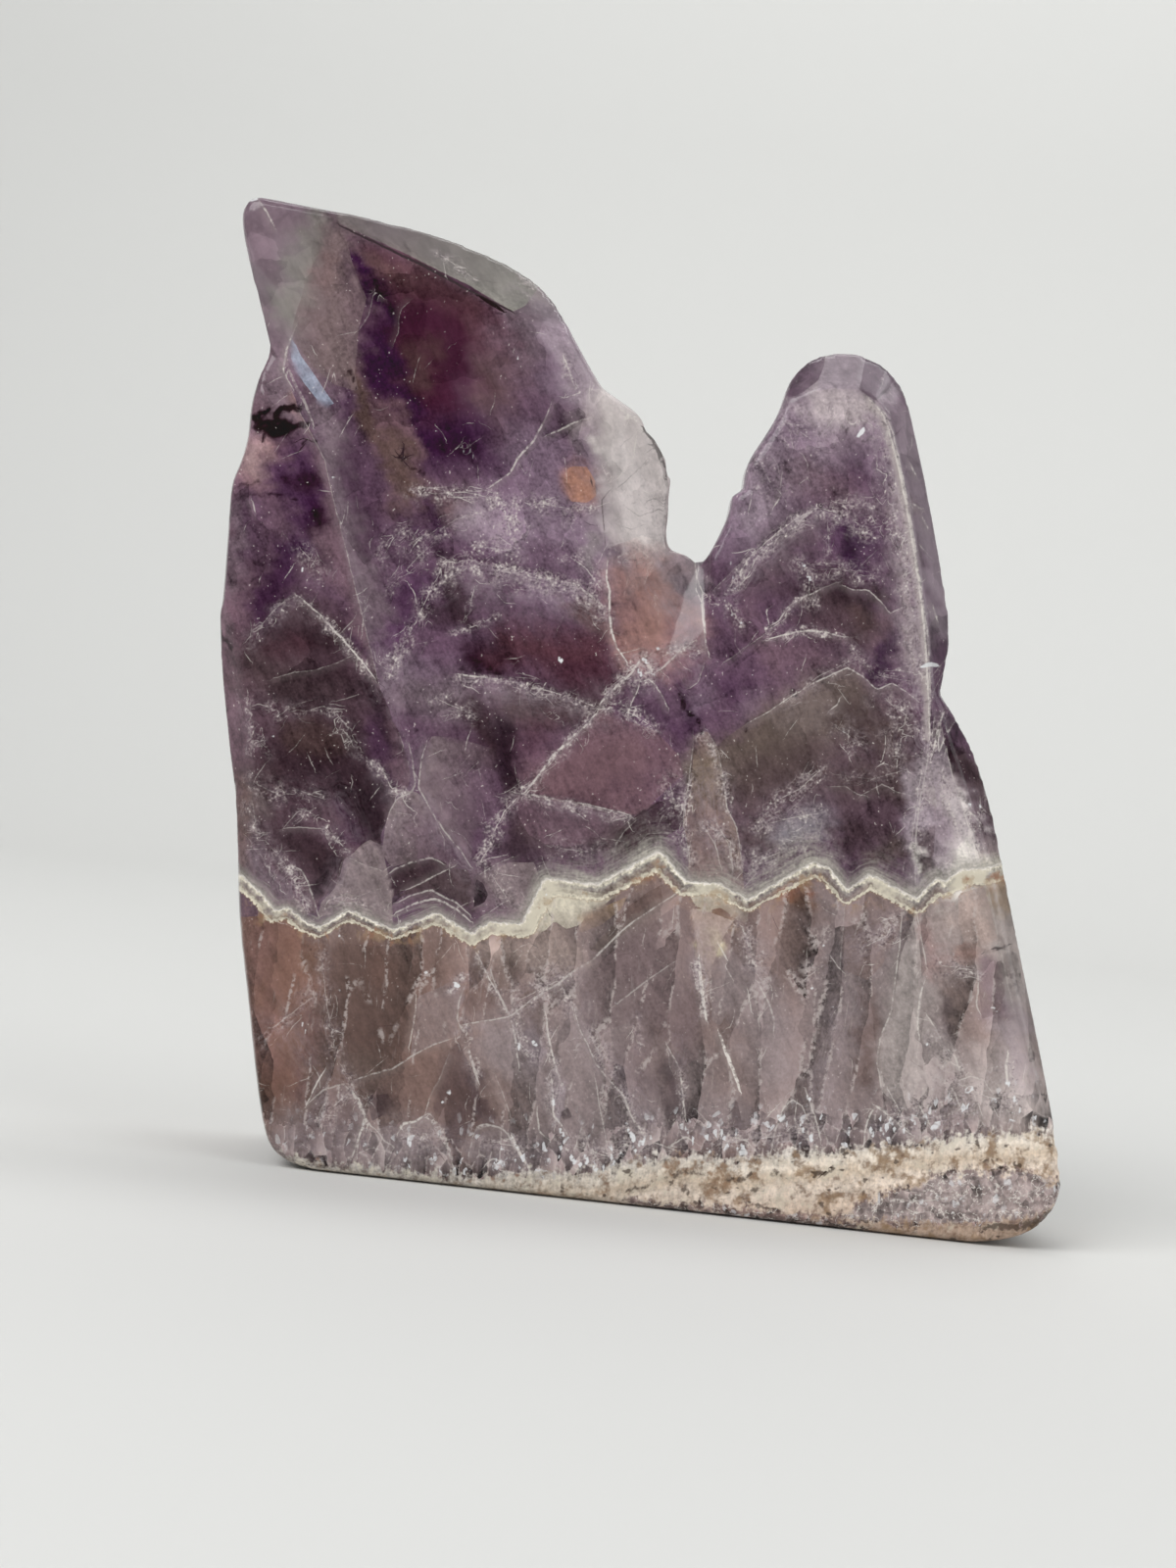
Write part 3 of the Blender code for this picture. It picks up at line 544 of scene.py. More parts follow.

# %% [markdown]
# ## Veils, shadows and cracks
# A veil is a sheet of tiny bubbles: it looks like frost, with one clean side and one that fades.
# A shadow is the same thing in dark. Both are strokes with a reach to the left and to the right of
# the line as it runs. A crack is thin and sharp, so it keeps its distance instead of its tone.
# A few of these strokes are painted light: the sheen and the bright line along the right ridge
# of the short point, and small sparkles on its flank.

# %% Veils, and a painted sheen: kind, strength, reach to the left, reach to the right, line
VEILS_AND_SHEEN = (
    ("grain", 0.28, 20, 20, 644, 500, 668, 532),
    ("grain", 0.4, 3, 9, 250, 655, 264, 641, 284, 618, 304, 607, 326, 627, 332, 634),
    ("grain", 0.85, 2.5, 4, 328, 631, 345, 647, 362, 666, 383, 692),
    ("grain", 0.5, 8, 8, 307, 560, 318, 572, 326, 585),
    ("grain", 0.4, 7, 5, 253, 722, 264, 718, 276, 722),
    ("grain", 0.4, 5, 7, 283, 732, 295, 722, 312, 726, 330, 720, 345, 730, 357, 745, 368, 770),
    ("grain", 0.6, 2, 5, 251, 715, 257, 735, 259, 765), ("grain", 0.6, 4, 5, 262, 755, 275, 765),
    ("grain", 0.85, 2, 4, 381, 778, 392, 790, 400, 805, 410, 806),
    ("grain", 0.35, 3, 7, 290, 844, 304, 828, 318, 828),
    ("grain", 0.7, 3, 4, 334, 846, 345, 858, 356, 870), ("mist", 0.22, 16, 16, 345, 820, 360, 850),
    ("grain", 0.3, 10, 10, 300, 805, 330, 815), ("grain", 0.5, 10, 10, 262, 800, 285, 812),
    ("grain", 0.35, 14, 14, 258, 820, 262, 850),
    ("grain", 0.75, 4, 6, 297, 885, 303, 905, 312, 930), ("mist", 0.35, 16, 16, 270, 880, 300, 920),
    ("grain", 0.45, 4, 6, 258, 843, 275, 862, 290, 880, 302, 905),
    ("mist", 0.3, 9, 3, 306, 421, 337, 491, 353, 560, 385, 690),
    ("mist", 0.35, 12, 2, 397, 722, 414, 770, 419, 800),
    ("grain", 0.9, 3, 12, 445, 592, 452, 575, 475, 571, 500, 576, 530, 583, 560, 590, 590, 597, 614,
     617),
    ("mist", 0.2, 4, 22, 470, 580, 530, 590, 600, 605),
    ("grain", 0.65, 6, 6, 397, 690, 407, 668, 417, 648, 427, 628, 442, 597),
    ("mist", 0.4, 14, 14, 392, 700, 402, 672), ("grain", 0.55, 8, 8, 392, 566, 402, 548, 412, 544),
    ("grain", 0.7, 4, 4, 418, 563, 426, 552, 433, 545),
    ("grain", 0.35, 7, 7, 398, 600, 420, 575, 446, 550),
    ("grain", 0.65, 5, 7, 420, 500, 445, 504, 475, 502, 500, 508),
    ("grain", 0.85, 12, 10, 500, 512, 516, 522, 520, 540),
    ("mist", 0.35, 18, 18, 500, 520, 520, 535), ("grain", 0.5, 8, 12, 520, 512, 560, 515, 600, 522),
    ("mist", 0.22, 26, 26, 540, 530, 600, 545), ("grain", 0.5, 3, 8, 450, 540, 465, 530, 480, 524),
    ("grain", 0.6, 10, 10, 585, 570, 600, 582, 612, 600),
    ("grain", 0.5, 12, 12, 482, 556, 520, 562),
    ("grain", 0.7, 3, 3, 505, 628, 493, 636, 478, 641, 465, 646),
    ("grain", 0.6, 3, 3, 484, 600, 480, 615, 478, 622),
    ("grain", 0.7, 2, 8, 469, 689, 500, 692, 530, 697, 560, 705, 590, 714, 612, 724),
    ("mist", 0.18, 3, 18, 480, 696, 560, 712, 620, 730),
    ("grain", 0.95, 6, 6, 608, 724, 628, 722, 648, 730, 666, 742),
    ("grain", 0.5, 10, 10, 450, 715, 480, 728),
    ("grain", 1, 6, 6, 652, 672, 664, 680, 660, 695, 650, 694),
    ("mist", 0.5, 14, 14, 645, 675, 665, 690), ("grain", 0.6, 7, 7, 672, 672, 695, 660, 712, 664),
    ("mist", 0.3, 20, 20, 690, 665, 705, 690),
    ("mist", 0.4, 6, 14, 433, 765, 427, 800, 455, 850, 478, 882),
    ("mist", 0.4, 12, 4, 404, 818, 394, 850),
    ("grain", 0.85, 5, 6, 530, 812, 515, 828, 506, 845, 500, 862, 490, 880),
    ("grain", 0.7, 1, 6, 540, 812, 565, 816, 600, 823, 640, 833),
    ("grain", 0.35, 12, 12, 560, 864, 620, 872), ("grain", 0.4, 14, 14, 500, 890, 520, 920),
    ("grain", 0.5, 12, 12, 684, 800, 690, 826), ("grain", 0.35, 14, 14, 660, 850, 690, 850),
    ("mist", 0.3, 16, 8, 350, 880, 341, 908, 325, 930), ("grain", 0.4, 9, 9, 345, 920, 380, 925),
    # the short point
    ("mist", 0.4, 4, 24, 808, 412, 834, 402, 870, 401, 888, 410),
    ("grain", 0.35, 22, 22, 800, 430, 830, 450), ("grain", 0.3, 26, 26, 775, 470, 790, 500),
    # along the right ridge of the short point: a whitish haze in the stone, and a painted sheen of
    # light on the ridge
    ("grain", 0.5, 20, 2, 950, 750, 944, 650, 940, 610, 930, 545, 915, 470),
    ("mist", 1.1, 15, 3, 950, 752, 948, 690, 942, 620, 932, 555, 918, 480, 903, 430),
    ("grain", 0.5, 18, 3, 918, 480, 906, 430, 895, 415),
    ("grain", 0.75, 3, 9, 745, 598, 767, 566, 790, 546, 812, 529, 835, 518, 858, 524, 885, 540),
    ("mist", 0.3, 8, 12, 745, 598, 790, 546, 835, 518),
    ("grain", 0.5, 10, 8, 850, 512, 885, 520, 900, 545), ("grain", 0.55, 5, 5, 845, 535, 846, 560),
    ("grain", 0.7, 7, 7, 815, 576, 826, 588, 826, 618),
    ("grain", 0.5, 9, 9, 830, 582, 855, 580, 890, 590),
    ("grain", 0.65, 3, 4, 784, 643, 797, 634, 805, 621, 815, 614),
    ("grain", 0.75, 2, 3, 783, 652, 800, 648, 822, 643, 842, 645, 862, 650),
    ("grain", 0.5, 6, 6, 745, 618, 748, 628, 758, 638),
    ("grain", 0.35, 6, 10, 800, 718, 835, 690, 865, 676),
    ("grain", 0.45, 8, 8, 870, 660, 880, 680, 900, 690, 930, 695),
    ("grain", 0.5, 14, 14, 905, 715, 925, 730, 915, 775),
    ("grain", 0.35, 14, 14, 850, 740, 880, 760),
    ("grain", 0.5, 12, 3, 944, 760, 936, 820, 930, 860), ("grain", 0.5, 9, 9, 705, 795, 695, 830),
    ("grain", 0.55, 8, 8, 838, 785, 815, 806, 790, 818),
    ("grain", 0.55, 10, 10, 770, 845, 800, 836, 835, 830),
    ("mist", 0.45, 14, 14, 795, 850, 830, 838), ("grain", 0.3, 8, 8, 850, 790, 890, 795, 925, 785),
    ("mist", 0.4, 20, 10, 985, 845, 998, 900), ("grain", 0.6, 10, 5, 960, 800, 978, 850),
    ("grain", 0.7, 3, 3, 962, 728, 955, 748, 950, 775), ("grain", 0.5, 4, 4, 985, 835, 1000, 870),
    ("grain", 0.5, 4, 4, 1000, 815, 1002, 835), ("mist", 0.3, 12, 12, 945, 530, 955, 560),
    ("mist", 0.35, 5, 5, 955, 590, 962, 625), ("grain", 0.7, 4, 5, 655, 672, 612, 718),
    ("grain", 0.75, 4, 4, 608, 728, 537, 807),
    ("grain", 0.7, 4, 4, 716, 752, 730, 770, 738, 800, 742, 828),
    ("grain", 0.6, 4, 4, 706, 800, 700, 840, 704, 880), ("mist", 0.5, 14, 14, 722, 800, 730, 860),
    ("grain", 0.6, 8, 8, 722, 842, 745, 858, 748, 885),
    ("grain", 0.5, 14, 14, 770, 880, 800, 868, 830, 860),
    ("mist", 0.4, 16, 16, 760, 895, 790, 880, 820, 868),
    # the root
    ("grain", 0.4, 7, 7, 325, 958, 330, 995, 335, 1035, 342, 1076, 358, 1105, 372, 1135),
    ("grain", 0.4, 10, 10, 262, 1060, 290, 1040, 318, 1018),
    ("mist", 0.25, 14, 14, 300, 1060, 330, 1100, 320, 1120),
    ("mist", 0.3, 9, 6, 474, 1000, 467, 1030, 468, 1058), ("grain", 0.9, 4, 4, 460, 1010, 472, 998),
    ("grain", 0.55, 5, 5, 486, 975, 500, 1000, 519, 1036),
    ("mist", 0.35, 8, 8, 520, 1036, 545, 1018, 585, 992),
    ("grain", 0.5, 14, 16, 530, 1020, 570, 1000, 580, 1020),
    ("grain", 0.7, 6, 6, 526, 1040, 530, 1065, 545, 1078),
    ("grain", 0.55, 4, 5, 475, 1045, 480, 1075, 488, 1098),
    ("grain", 0.6, 4, 4, 558, 1050, 566, 1085, 572, 1110),
    ("grain", 0.75, 4, 4, 563, 1100, 564, 1125, 566, 1145),
    ("mist", 0.3, 10, 10, 586, 1030, 600, 1065, 620, 1100),
    ("grain", 0.45, 12, 5, 604, 1060, 625, 1100, 645, 1140, 662, 1160),
    ("mist", 0.3, 18, 18, 640, 1120, 665, 1150), ("grain", 0.5, 4, 4, 650, 1035, 654, 1070),
    ("mist", 0.3, 8, 8, 690, 1060, 692, 1082), ("grain", 0.5, 4, 4, 695, 1095, 697, 1150),
    ("grain", 1, 4, 4, 714, 985, 717, 1010, 721, 1036), ("mist", 0.4, 8, 8, 711, 950, 716, 1000),
    ("grain", 0.7, 9, 9, 757, 946, 766, 972, 772, 985),
    ("mist", 0.3, 9, 9, 775, 1000, 785, 1025, 790, 1040),
    ("grain", 0.4, 10, 10, 820, 1000, 840, 985), ("grain", 0.6, 9, 9, 882, 966, 905, 955, 912, 940),
    ("mist", 0.35, 16, 16, 870, 970, 905, 950),
    ("mist", 0.3, 16, 16, 865, 1020, 850, 1060, 840, 1110),
    ("grain", 0.5, 8, 8, 830, 1120, 825, 1150),
    ("grain", 0.5, 8, 8, 955, 1060, 972, 1085, 990, 1095),
    ("grain", 0.6, 14, 14, 920, 1140, 960, 1140, 985, 1130),
    ("grain", 0.5, 14, 14, 975, 1105, 1010, 1120, 1040, 1120),
    ("grain", 0.6, 6, 6, 1030, 1085, 1032, 1110), ("grain", 0.5, 10, 10, 960, 985, 995, 990),
    ("grain", 0.6, 9, 9, 330, 1140, 350, 1120), ("grain", 0.6, 10, 10, 420, 1160, 445, 1160),
    ("grain", 0.6, 10, 10, 500, 1165, 530, 1170),
    ("grain", 0.8, 11, 11, 590, 1170, 620, 1180, 640, 1170),
    ("grain", 0.8, 9, 9, 645, 1150, 655, 1165),
    ("grain", 0.6, 12, 12, 740, 1165, 790, 1160, 830, 1150),
    ("mist", 0.3, 18, 18, 300, 1160, 420, 1170, 560, 1180),
    ("mist", 0.3, 16, 16, 680, 1165, 800, 1160, 900, 1150, 1000, 1140),
    # the clear parts
    ("mist", 0.45, 12, 12, 530, 292, 552, 305), ("grain", 0.6, 8, 8, 535, 285, 545, 295),
    ("grain", 0.8, 2.5, 2.5, 445, 258, 462, 268, 485, 285),
    ("grain", 0.3, 5, 5, 640, 425, 655, 440), ("mist", 0.55, 10, 10, 660, 598, 702, 642),
    ("grain", 0.4, 5, 5, 624, 556, 640, 572, 652, 562),
    ("grain", 0.35, 4, 4, 648, 556, 660, 572, 668, 582),
    ("grain", 0.5, 5, 5, 577, 366, 584, 385, 592, 398), ("mist", 0.25, 7, 7, 604, 385, 600, 420),
    ("grain", 0.6, 5, 5, 716, 603, 726, 612), ("mist", 0.3, 6, 10, 706, 575, 716, 600, 720, 640),
    ("grain", 0.4, 6, 6, 623, 560, 640, 565, 655, 575),
)

# %% Shadows: strength, reach to the left, reach to the right, line
SHADOWS = (
    (1, 4, 4, 259, 426, 267, 421, 275, 419), (1.2, 3.5, 4, 283, 425, 291, 417, 299, 415, 304, 417),
    (1, 4, 5, 258, 426, 270, 430, 284, 430, 292, 432), (1, 6, 6, 261, 435, 267, 437),
    (1.3, 6, 8, 274, 436, 284, 440, 291, 437),
    (1.2, 2.5, 3.5, 288, 434, 300, 434, 307, 432, 313, 433), (0.8, 1.5, 1.5, 268, 441, 269, 450),
    (0.8, 2, 2, 280, 444, 285, 449), (0.8, 1.5, 1.5, 310, 455, 316, 451, 320, 451, 323, 456),
    (0.6, 4, 4, 242, 494, 262, 492), (0.55, 5, 5, 252, 505, 282, 506),
    (0.7, 1.6, 1.6, 277, 503, 290, 508, 304, 511), (0.55, 7, 7, 304, 488, 314, 492),
    (0.6, 7, 7, 320, 522, 326, 536), (0.75, 3, 3, 224, 640, 228, 652, 234, 658),
    (0.9, 2.5, 2.5, 408, 466, 413, 468), (0.7, 3, 3, 420, 479, 432, 483),
    (0.8, 2, 2.5, 356, 377, 360, 384, 364, 394), (0.55, 3, 3, 347, 386, 352, 400, 356, 410),
    (0.45, 4, 4, 343, 380, 346, 396), (0.5, 2.5, 2.5, 362, 402, 363, 412),
    (0.5, 0.5, 5, 347, 233, 385, 252, 425, 272, 462, 292, 480, 301),
    (0.6, 1, 3, 470, 295, 495, 310, 514, 319), (0.5, 6, 6, 496, 318, 500, 322),
    (0.5, 3, 3, 350, 267, 352, 270), (0.45, 12, 20, 452, 592, 462, 630),
    (0.6, 9, 3, 470, 684, 510, 686), (0.35, 16, 16, 520, 740, 525, 800),
    (0.85, 3, 3, 690, 706, 704, 728, 718, 748), (0.5, 8, 8, 690, 680, 700, 695),
    (0.5, 5, 9, 850, 530, 880, 546), (0.5, 7, 7, 866, 548, 872, 574),
    (0.85, 2.2, 2.2, 836, 692, 840, 695), (0.85, 2.2, 2.2, 808, 705, 812, 704),
    (0.8, 1.6, 1.6, 809, 711, 812, 710), (0.8, 2, 2, 760, 742, 761, 746),
    (0.75, 2, 2, 788, 819, 792, 820), (0.6, 2, 2, 644, 835, 672, 818, 692, 803),
    (0.6, 1.5, 2.5, 855, 447, 866, 437), (0.65, 1.8, 1.8, 881, 449, 888, 445, 896, 437),
    (0.45, 2, 2, 843, 399, 845, 410, 838, 440), (0.4, 1.5, 1.5, 860, 372, 861, 398),
    (0.6, 2, 4, 890, 411, 905, 400, 916, 387), (0.7, 6, 6, 884, 362, 905, 372),
    (0.5, 8, 3, 808, 396, 818, 380, 834, 366), (0.4, 6, 6, 842, 448, 850, 455),
    (0.7, 4, 4, 966, 755, 982, 768), (0.6, 5, 5, 978, 810, 988, 818),
    (0.3, 8, 8, 985, 840, 1005, 880), (0.5, 2.5, 2.5, 1006, 970, 1024, 967),
    (0.5, 5, 5, 880, 700, 900, 730), (0.5, 3, 3, 600, 920, 612, 930),
    (0.6, 3, 3, 640, 918, 648, 920), (0.5, 3, 3, 655, 902, 660, 896),
    (0.5, 2, 2, 382, 954, 392, 944), (0.6, 3, 3, 315, 965, 323, 978),
    (0.5, 2.5, 2.5, 298, 1017, 306, 1012), (0.5, 3, 3, 378, 1120, 398, 1138),
    (0.5, 2.5, 2.5, 486, 1106, 492, 1134), (0.4, 3, 3, 465, 1165, 470, 1175),
    (0.6, 2, 2, 838, 1198, 850, 1190), (0.55, 3, 3, 743, 1205, 760, 1205, 766, 1200),
    (0.6, 2.5, 2.5, 698, 1214, 702, 1218), (0.55, 2.5, 2.5, 770, 1216, 776, 1214),
    (0.4, 4, 4, 680, 1200, 700, 1195, 720, 1197), (0.4, 4, 4, 786, 1196, 800, 1200),
    (0.5, 2, 2, 640, 1216, 660, 1212, 670, 1202), (0.45, 3, 3, 966, 1020, 972, 1036),
    (0.4, 3, 3, 978, 1045, 984, 1060), (0.4, 2.5, 2.5, 945, 1080, 955, 1106),
    (0.35, 7, 7, 740, 1120, 752, 1150), (0.6, 3, 6, 1005, 1252, 1050, 1250, 1076, 1236),
    (0.4, 3, 3, 980, 1196, 1020, 1194, 1060, 1200),
)

# %% Cracks, and a few painted highlights: set, brightness, strength, half width, line
CRACKS_AND_HIGHLIGHTS = (
    (1, 0.7, 0.4, 0.5, 306, 421, 331, 469, 342, 517, 353, 560, 365, 610, 385, 690),
    # the bright line along the right ridge of the short point: a painted highlight on its crease,
    # with a strong glow
    (0, 0.98, 1.15, 1.1, 889, 409, 899, 420, 906, 436, 918, 480, 930, 545, 939, 602, 944, 650, 947,
     700, 949, 752),
    (0, 0.02, 1.4, 0.6, 412, 453, 411, 468), (1, 0.02, 1.4, 0.5, 402, 466, 411, 468, 420, 464),
    (0, 0.02, 1.2, 0.5, 404, 461, 411, 470, 417, 476),
    (0, 0.02, 1.2, 0.5, 300, 452, 310, 447, 318, 450), (1, 0.02, 1.2, 0.5, 304, 462, 312, 452),
    (0, 0.8, 0.9, 0.9, 301, 335, 297, 345, 293, 356, 291, 366, 289, 378),
    (1, 0.85, 1.0, 1.3, 293, 357, 291, 366, 289, 378),
    (1, 0.7, 0.7, 0.6, 289, 378, 294, 388, 299, 397),
    (0, 0.95, 0.9, 0.9, 264, 204, 270, 213, 280, 231),
    (1, 0.0, 1.6, 1.8, 490, 303, 502, 310, 513, 317),
    (0, 0.04, 1.5, 1.2, 346, 230, 380, 246, 430, 270, 478, 296, 523, 318),
    (0, 0.75, 0.5, 1.4, 292, 356, 294, 374, 301, 392, 312, 412, 320, 434),
    (0, 0.8, 0.6, 0.5, 381, 300, 385, 299, 390, 303),
    (0, 0.8, 0.3, 0.35, 382, 298, 376, 322, 368, 335, 361, 341),
    (1, 0.8, 0.35, 0.4, 416, 309, 409, 316, 407, 322, 407, 338, 402, 350),
    (0, 0.85, 0.7, 1.0, 500, 497, 519, 484, 530, 466, 545, 449, 556, 428, 562, 414),
    (1, 0.8, 0.6, 0.9, 558, 444, 575, 437, 586, 431, 600, 427),
    (0, 0.9, 0.8, 0.9, 576, 366, 582, 382, 586, 394), (1, 0.85, 0.6, 0.7, 608, 390, 603, 400),
    (0, 0.1, 0.8, 0.7, 622, 500, 614, 510, 615, 525, 617, 545, 618, 560),
    (1, 0.05, 0.9, 1.0, 603, 489, 604, 494), (1, 1.0, 0.95, 1.6, 636, 419, 643, 425, 650, 430),
    # short bright marks on the right flank of the short point: painted sparkles of light
    (1, 1.0, 0.9, 0.9, 930, 475, 935, 486), (1, 1.0, 0.8, 1.0, 931, 514, 940, 519),
    (1, 1.0, 0.8, 0.8, 941, 527, 947, 540), (1, 1.0, 0.9, 1.0, 952, 619, 957, 634),
    (1, 1.0, 0.8, 1.2, 638, 428, 648, 425), (1, 1.0, 0.6, 0.6, 650, 442, 648, 456, 647, 466),
    (1, 1.0, 0.6, 0.6, 655, 500, 664, 504, 674, 500),
    (1, 0.1, 0.7, 0.7, 660, 512, 668, 508, 676, 514),
    (1, 0.1, 0.6, 0.6, 664, 524, 672, 519, 681, 524),
    (1, 0.1, 0.6, 0.5, 640, 518, 652, 527, 662, 523),
    (1, 0.1, 0.5, 0.5, 630, 536, 644, 540, 656, 536),
    (0, 0.95, 0.95, 1.1, 620, 575, 619, 590, 622, 602, 622, 625, 624, 645, 629, 660, 640, 676),
    (0, 0.15, 0.6, 0.6, 630, 498, 640, 490, 652, 478, 660, 470),
    (0, 0.95, 0.7, 0.8, 648, 428, 654, 432, 656, 440),
    (1, 0.2, 1.1, 2.4, 657, 437, 667, 450, 673, 462, 678, 480, 681, 497),
    (1, 0.12, 0.8, 0.8, 680, 500, 679, 520, 676, 540, 680, 560),
    (0, 0.95, 0.6, 0.7, 671, 482, 676, 492, 679, 500),
    (0, 0.9, 0.45, 0.8, 649, 442, 648, 456, 645, 474),
    (0, 0.15, 0.45, 0.4, 645, 484, 655, 477, 664, 471), (1, 0.15, 0.5, 0.5, 660, 462, 666, 457),
    (0, 0.15, 0.4, 0.4, 632, 458, 638, 450, 645, 446),
    (1, 0.9, 0.9, 0.6, 684, 563, 700, 566, 709, 574, 711, 590, 710, 602, 716, 614, 718, 640, 720,
     660),
    (0, 0.85, 0.9, 0.9, 304, 608, 326, 627, 345, 647, 362, 666, 383, 692),
    (0, 0.9, 0.8, 0.8, 469, 688, 485, 690, 502, 692),
    (0, 0.9, 0.9, 1.2, 537, 807, 550, 791, 562, 774, 580, 755, 598, 740, 608, 728),
    (1, 0.9, 0.8, 1.2, 612, 718, 628, 702, 645, 686, 655, 672, 662, 668),
    (1, 0.85, 0.7, 0.9, 664, 690, 680, 678, 694, 664, 708, 655),
    (0, 0.9, 0.8, 0.7, 655, 688, 668, 698, 676, 710, 681, 722),
    (0, 0.9, 0.7, 0.6, 654, 692, 650, 706, 645, 716, 641, 728),
    (1, 0.8, 0.6, 0.6, 590, 598, 604, 610, 614, 618),
    (0, 0.85, 0.75, 0.9, 525, 809, 545, 812, 565, 815, 600, 821, 645, 832),
    (0, 0.7, 0.6, 0.7, 645, 833, 636, 835, 621, 839),
    (0, 0.65, 0.4, 0.7, 648, 838, 636, 850, 628, 862, 626, 878),
    (0, 0.75, 0.6, 0.8, 436, 757, 430, 775, 427, 803, 440, 828, 455, 850, 470, 868, 480, 884),
    (1, 0.7, 0.5, 0.9, 418, 762, 421, 778, 424, 800, 420, 808, 405, 815, 397, 829),
    (1, 0.75, 0.5, 0.6, 488, 893, 510, 880, 524, 874),
    (0, 0.7, 0.6, 1.0, 396, 892, 404, 886, 420, 880, 440, 875, 452, 881),
    (1, 0.75, 0.7, 0.7, 463, 884, 445, 893, 430, 901, 414, 908),
    (0, 0.75, 0.7, 0.9, 405, 921, 418, 914, 440, 908, 448, 913, 464, 920, 480, 934),
    (1, 0.8, 0.8, 1.1, 403, 932, 416, 925, 430, 920, 442, 917, 452, 920, 466, 928, 480, 940),
    (1, 0.7, 0.5, 0.6, 357, 876, 375, 884, 392, 889, 398, 884),
    (0, 0.8, 0.6, 0.8, 298, 884, 308, 888, 314, 900, 320, 918, 325, 934),
    (0, 0.7, 0.6, 0.5, 290, 845, 305, 844, 330, 846),
    (1, 0.65, 0.5, 0.5, 280, 692, 298, 686, 320, 684, 340, 678, 362, 668),
    (0, 0.75, 0.5, 0.5, 350, 745, 356, 752, 360, 760), (0, 0.85, 0.7, 0.8, 258, 512, 260, 522),
    (1, 0.7, 0.5, 0.5, 346, 648, 362, 630),
    # the short point
    (0, 0.85, 0.75, 0.9, 713, 579, 711, 590, 716, 602, 718, 622, 719, 640, 720, 656, 724, 668),
    (1, 0.75, 0.5, 0.6, 718, 680, 712, 697, 704, 702),
    (0, 0.75, 0.5, 0.5, 738, 676, 752, 667, 760, 661, 782, 646),
    (0, 0.8, 0.6, 0.6, 753, 600, 764, 586, 770, 572, 782, 558, 796, 548),
    (1, 0.7, 0.5, 0.5, 730, 600, 745, 585, 760, 570),
    (0, 0.85, 0.75, 0.8, 784, 640, 795, 633, 803, 620, 818, 610, 838, 601, 854, 594),
    (1, 0.85, 0.7, 0.6, 862, 598, 870, 602, 886, 602, 897, 612, 908, 626, 921, 620),
    (1, 0.85, 0.75, 0.8, 784, 652, 800, 648, 822, 643, 842, 645, 862, 650),
    (0, 0.85, 0.75, 0.7, 763, 738, 785, 726, 805, 712, 830, 697, 865, 681, 880, 690, 895, 704, 910,
     697, 925, 706, 938, 716),
    (0, 0.7, 0.5, 0.5, 867, 738, 865, 752), (1, 0.9, 0.7, 0.6, 847, 725, 855, 718, 857, 713),
    (0, 0.85, 0.8, 0.7, 796, 508, 790, 517), (1, 0.8, 0.4, 0.5, 798, 484, 796, 502),
    (0, 0.85, 0.6, 0.7, 893, 412, 900, 417),
    # the same ridge again in the other set: a painted highlight on its crease
    (1, 0.95, 0.8, 1.0, 891, 411, 903, 422, 911, 442, 921, 486, 933, 551, 942, 617, 947, 650, 949,
     700, 949, 752),
    (0, 0.95, 0.8, 1.0, 963, 727, 957, 745, 951, 772),
    (0, 0.95, 0.6, 0.8, 973, 738, 963, 755, 958, 768),
    (1, 0.8, 0.5, 0.8, 949, 760, 944, 790, 938, 822, 934, 863, 934, 921),
    (0, 0.85, 0.5, 0.7, 960, 740, 976, 809, 988, 841, 1000, 870, 1008, 905, 1019, 959, 1034, 1030),
    (0, 0.9, 0.8, 0.9, 986, 826, 994, 832, 1000, 840),
    (1, 0.8, 0.5, 0.5, 846, 358, 842, 368, 838, 376),
    (0, 0.7, 0.5, 0.5, 845, 803, 862, 802, 876, 811, 884, 812),
    (1, 0.7, 0.5, 0.5, 878, 812, 900, 800, 915, 808, 930, 812),
    (0, 0.8, 0.6, 0.6, 722, 746, 733, 766, 739, 800, 742, 825, 752, 845, 757, 880),
    (1, 0.8, 0.5, 0.5, 708, 752, 704, 790, 697, 838, 702, 868),
    (0, 0.85, 0.5, 0.5, 718, 842, 730, 862, 736, 886),
    (1, 0.85, 0.5, 0.5, 730, 838, 744, 862, 748, 890),
    (0, 0.15, 0.6, 0.6, 712, 760, 718, 790, 716, 820),
    # the root
    (0, 0.85, 0.7, 0.7, 425, 1016, 424, 1030, 421, 1050, 417, 1070),
    (0, 0.8, 0.6, 0.8, 474, 1008, 468, 1022, 467, 1040, 472, 1052),
    (0, 0.8, 0.6, 0.8, 488, 975, 500, 1000, 512, 1020, 521, 1037),
    (1, 0.75, 0.5, 0.7, 500, 988, 508, 1012, 518, 1034),
    (0, 0.85, 0.7, 0.9, 521, 1037, 525, 1055, 528, 1078, 530, 1090),
    (1, 0.75, 0.6, 0.9, 356, 1104, 380, 1096, 402, 1090, 420, 1078, 440, 1067, 460, 1060),
    (1, 0.8, 0.7, 1.0, 475, 1045, 500, 1041, 521, 1037, 545, 1018, 569, 1004, 585, 991, 603, 981,
     622, 962, 640, 945, 662, 930, 700, 905),
    (1, 0.7, 0.5, 0.8, 622, 1030, 645, 1012, 668, 995, 690, 980),
    (0, 0.75, 0.5, 0.6, 505, 1096, 513, 1116, 521, 1138),
    (0, 0.85, 0.8, 1.0, 557, 1035, 560, 1060, 566, 1085, 573, 1105),
    (1, 0.9, 0.8, 1.0, 563, 1100, 564, 1120, 565, 1138, 574, 1150, 582, 1162),
    (0, 0.8, 0.7, 0.8, 586, 1030, 592, 1052, 600, 1066, 608, 1086, 622, 1102, 636, 1118, 644, 1138,
     652, 1155, 668, 1166, 690, 1174),
    (1, 0.75, 0.6, 0.6, 607, 1098, 612, 1130, 616, 1150, 620, 1172),
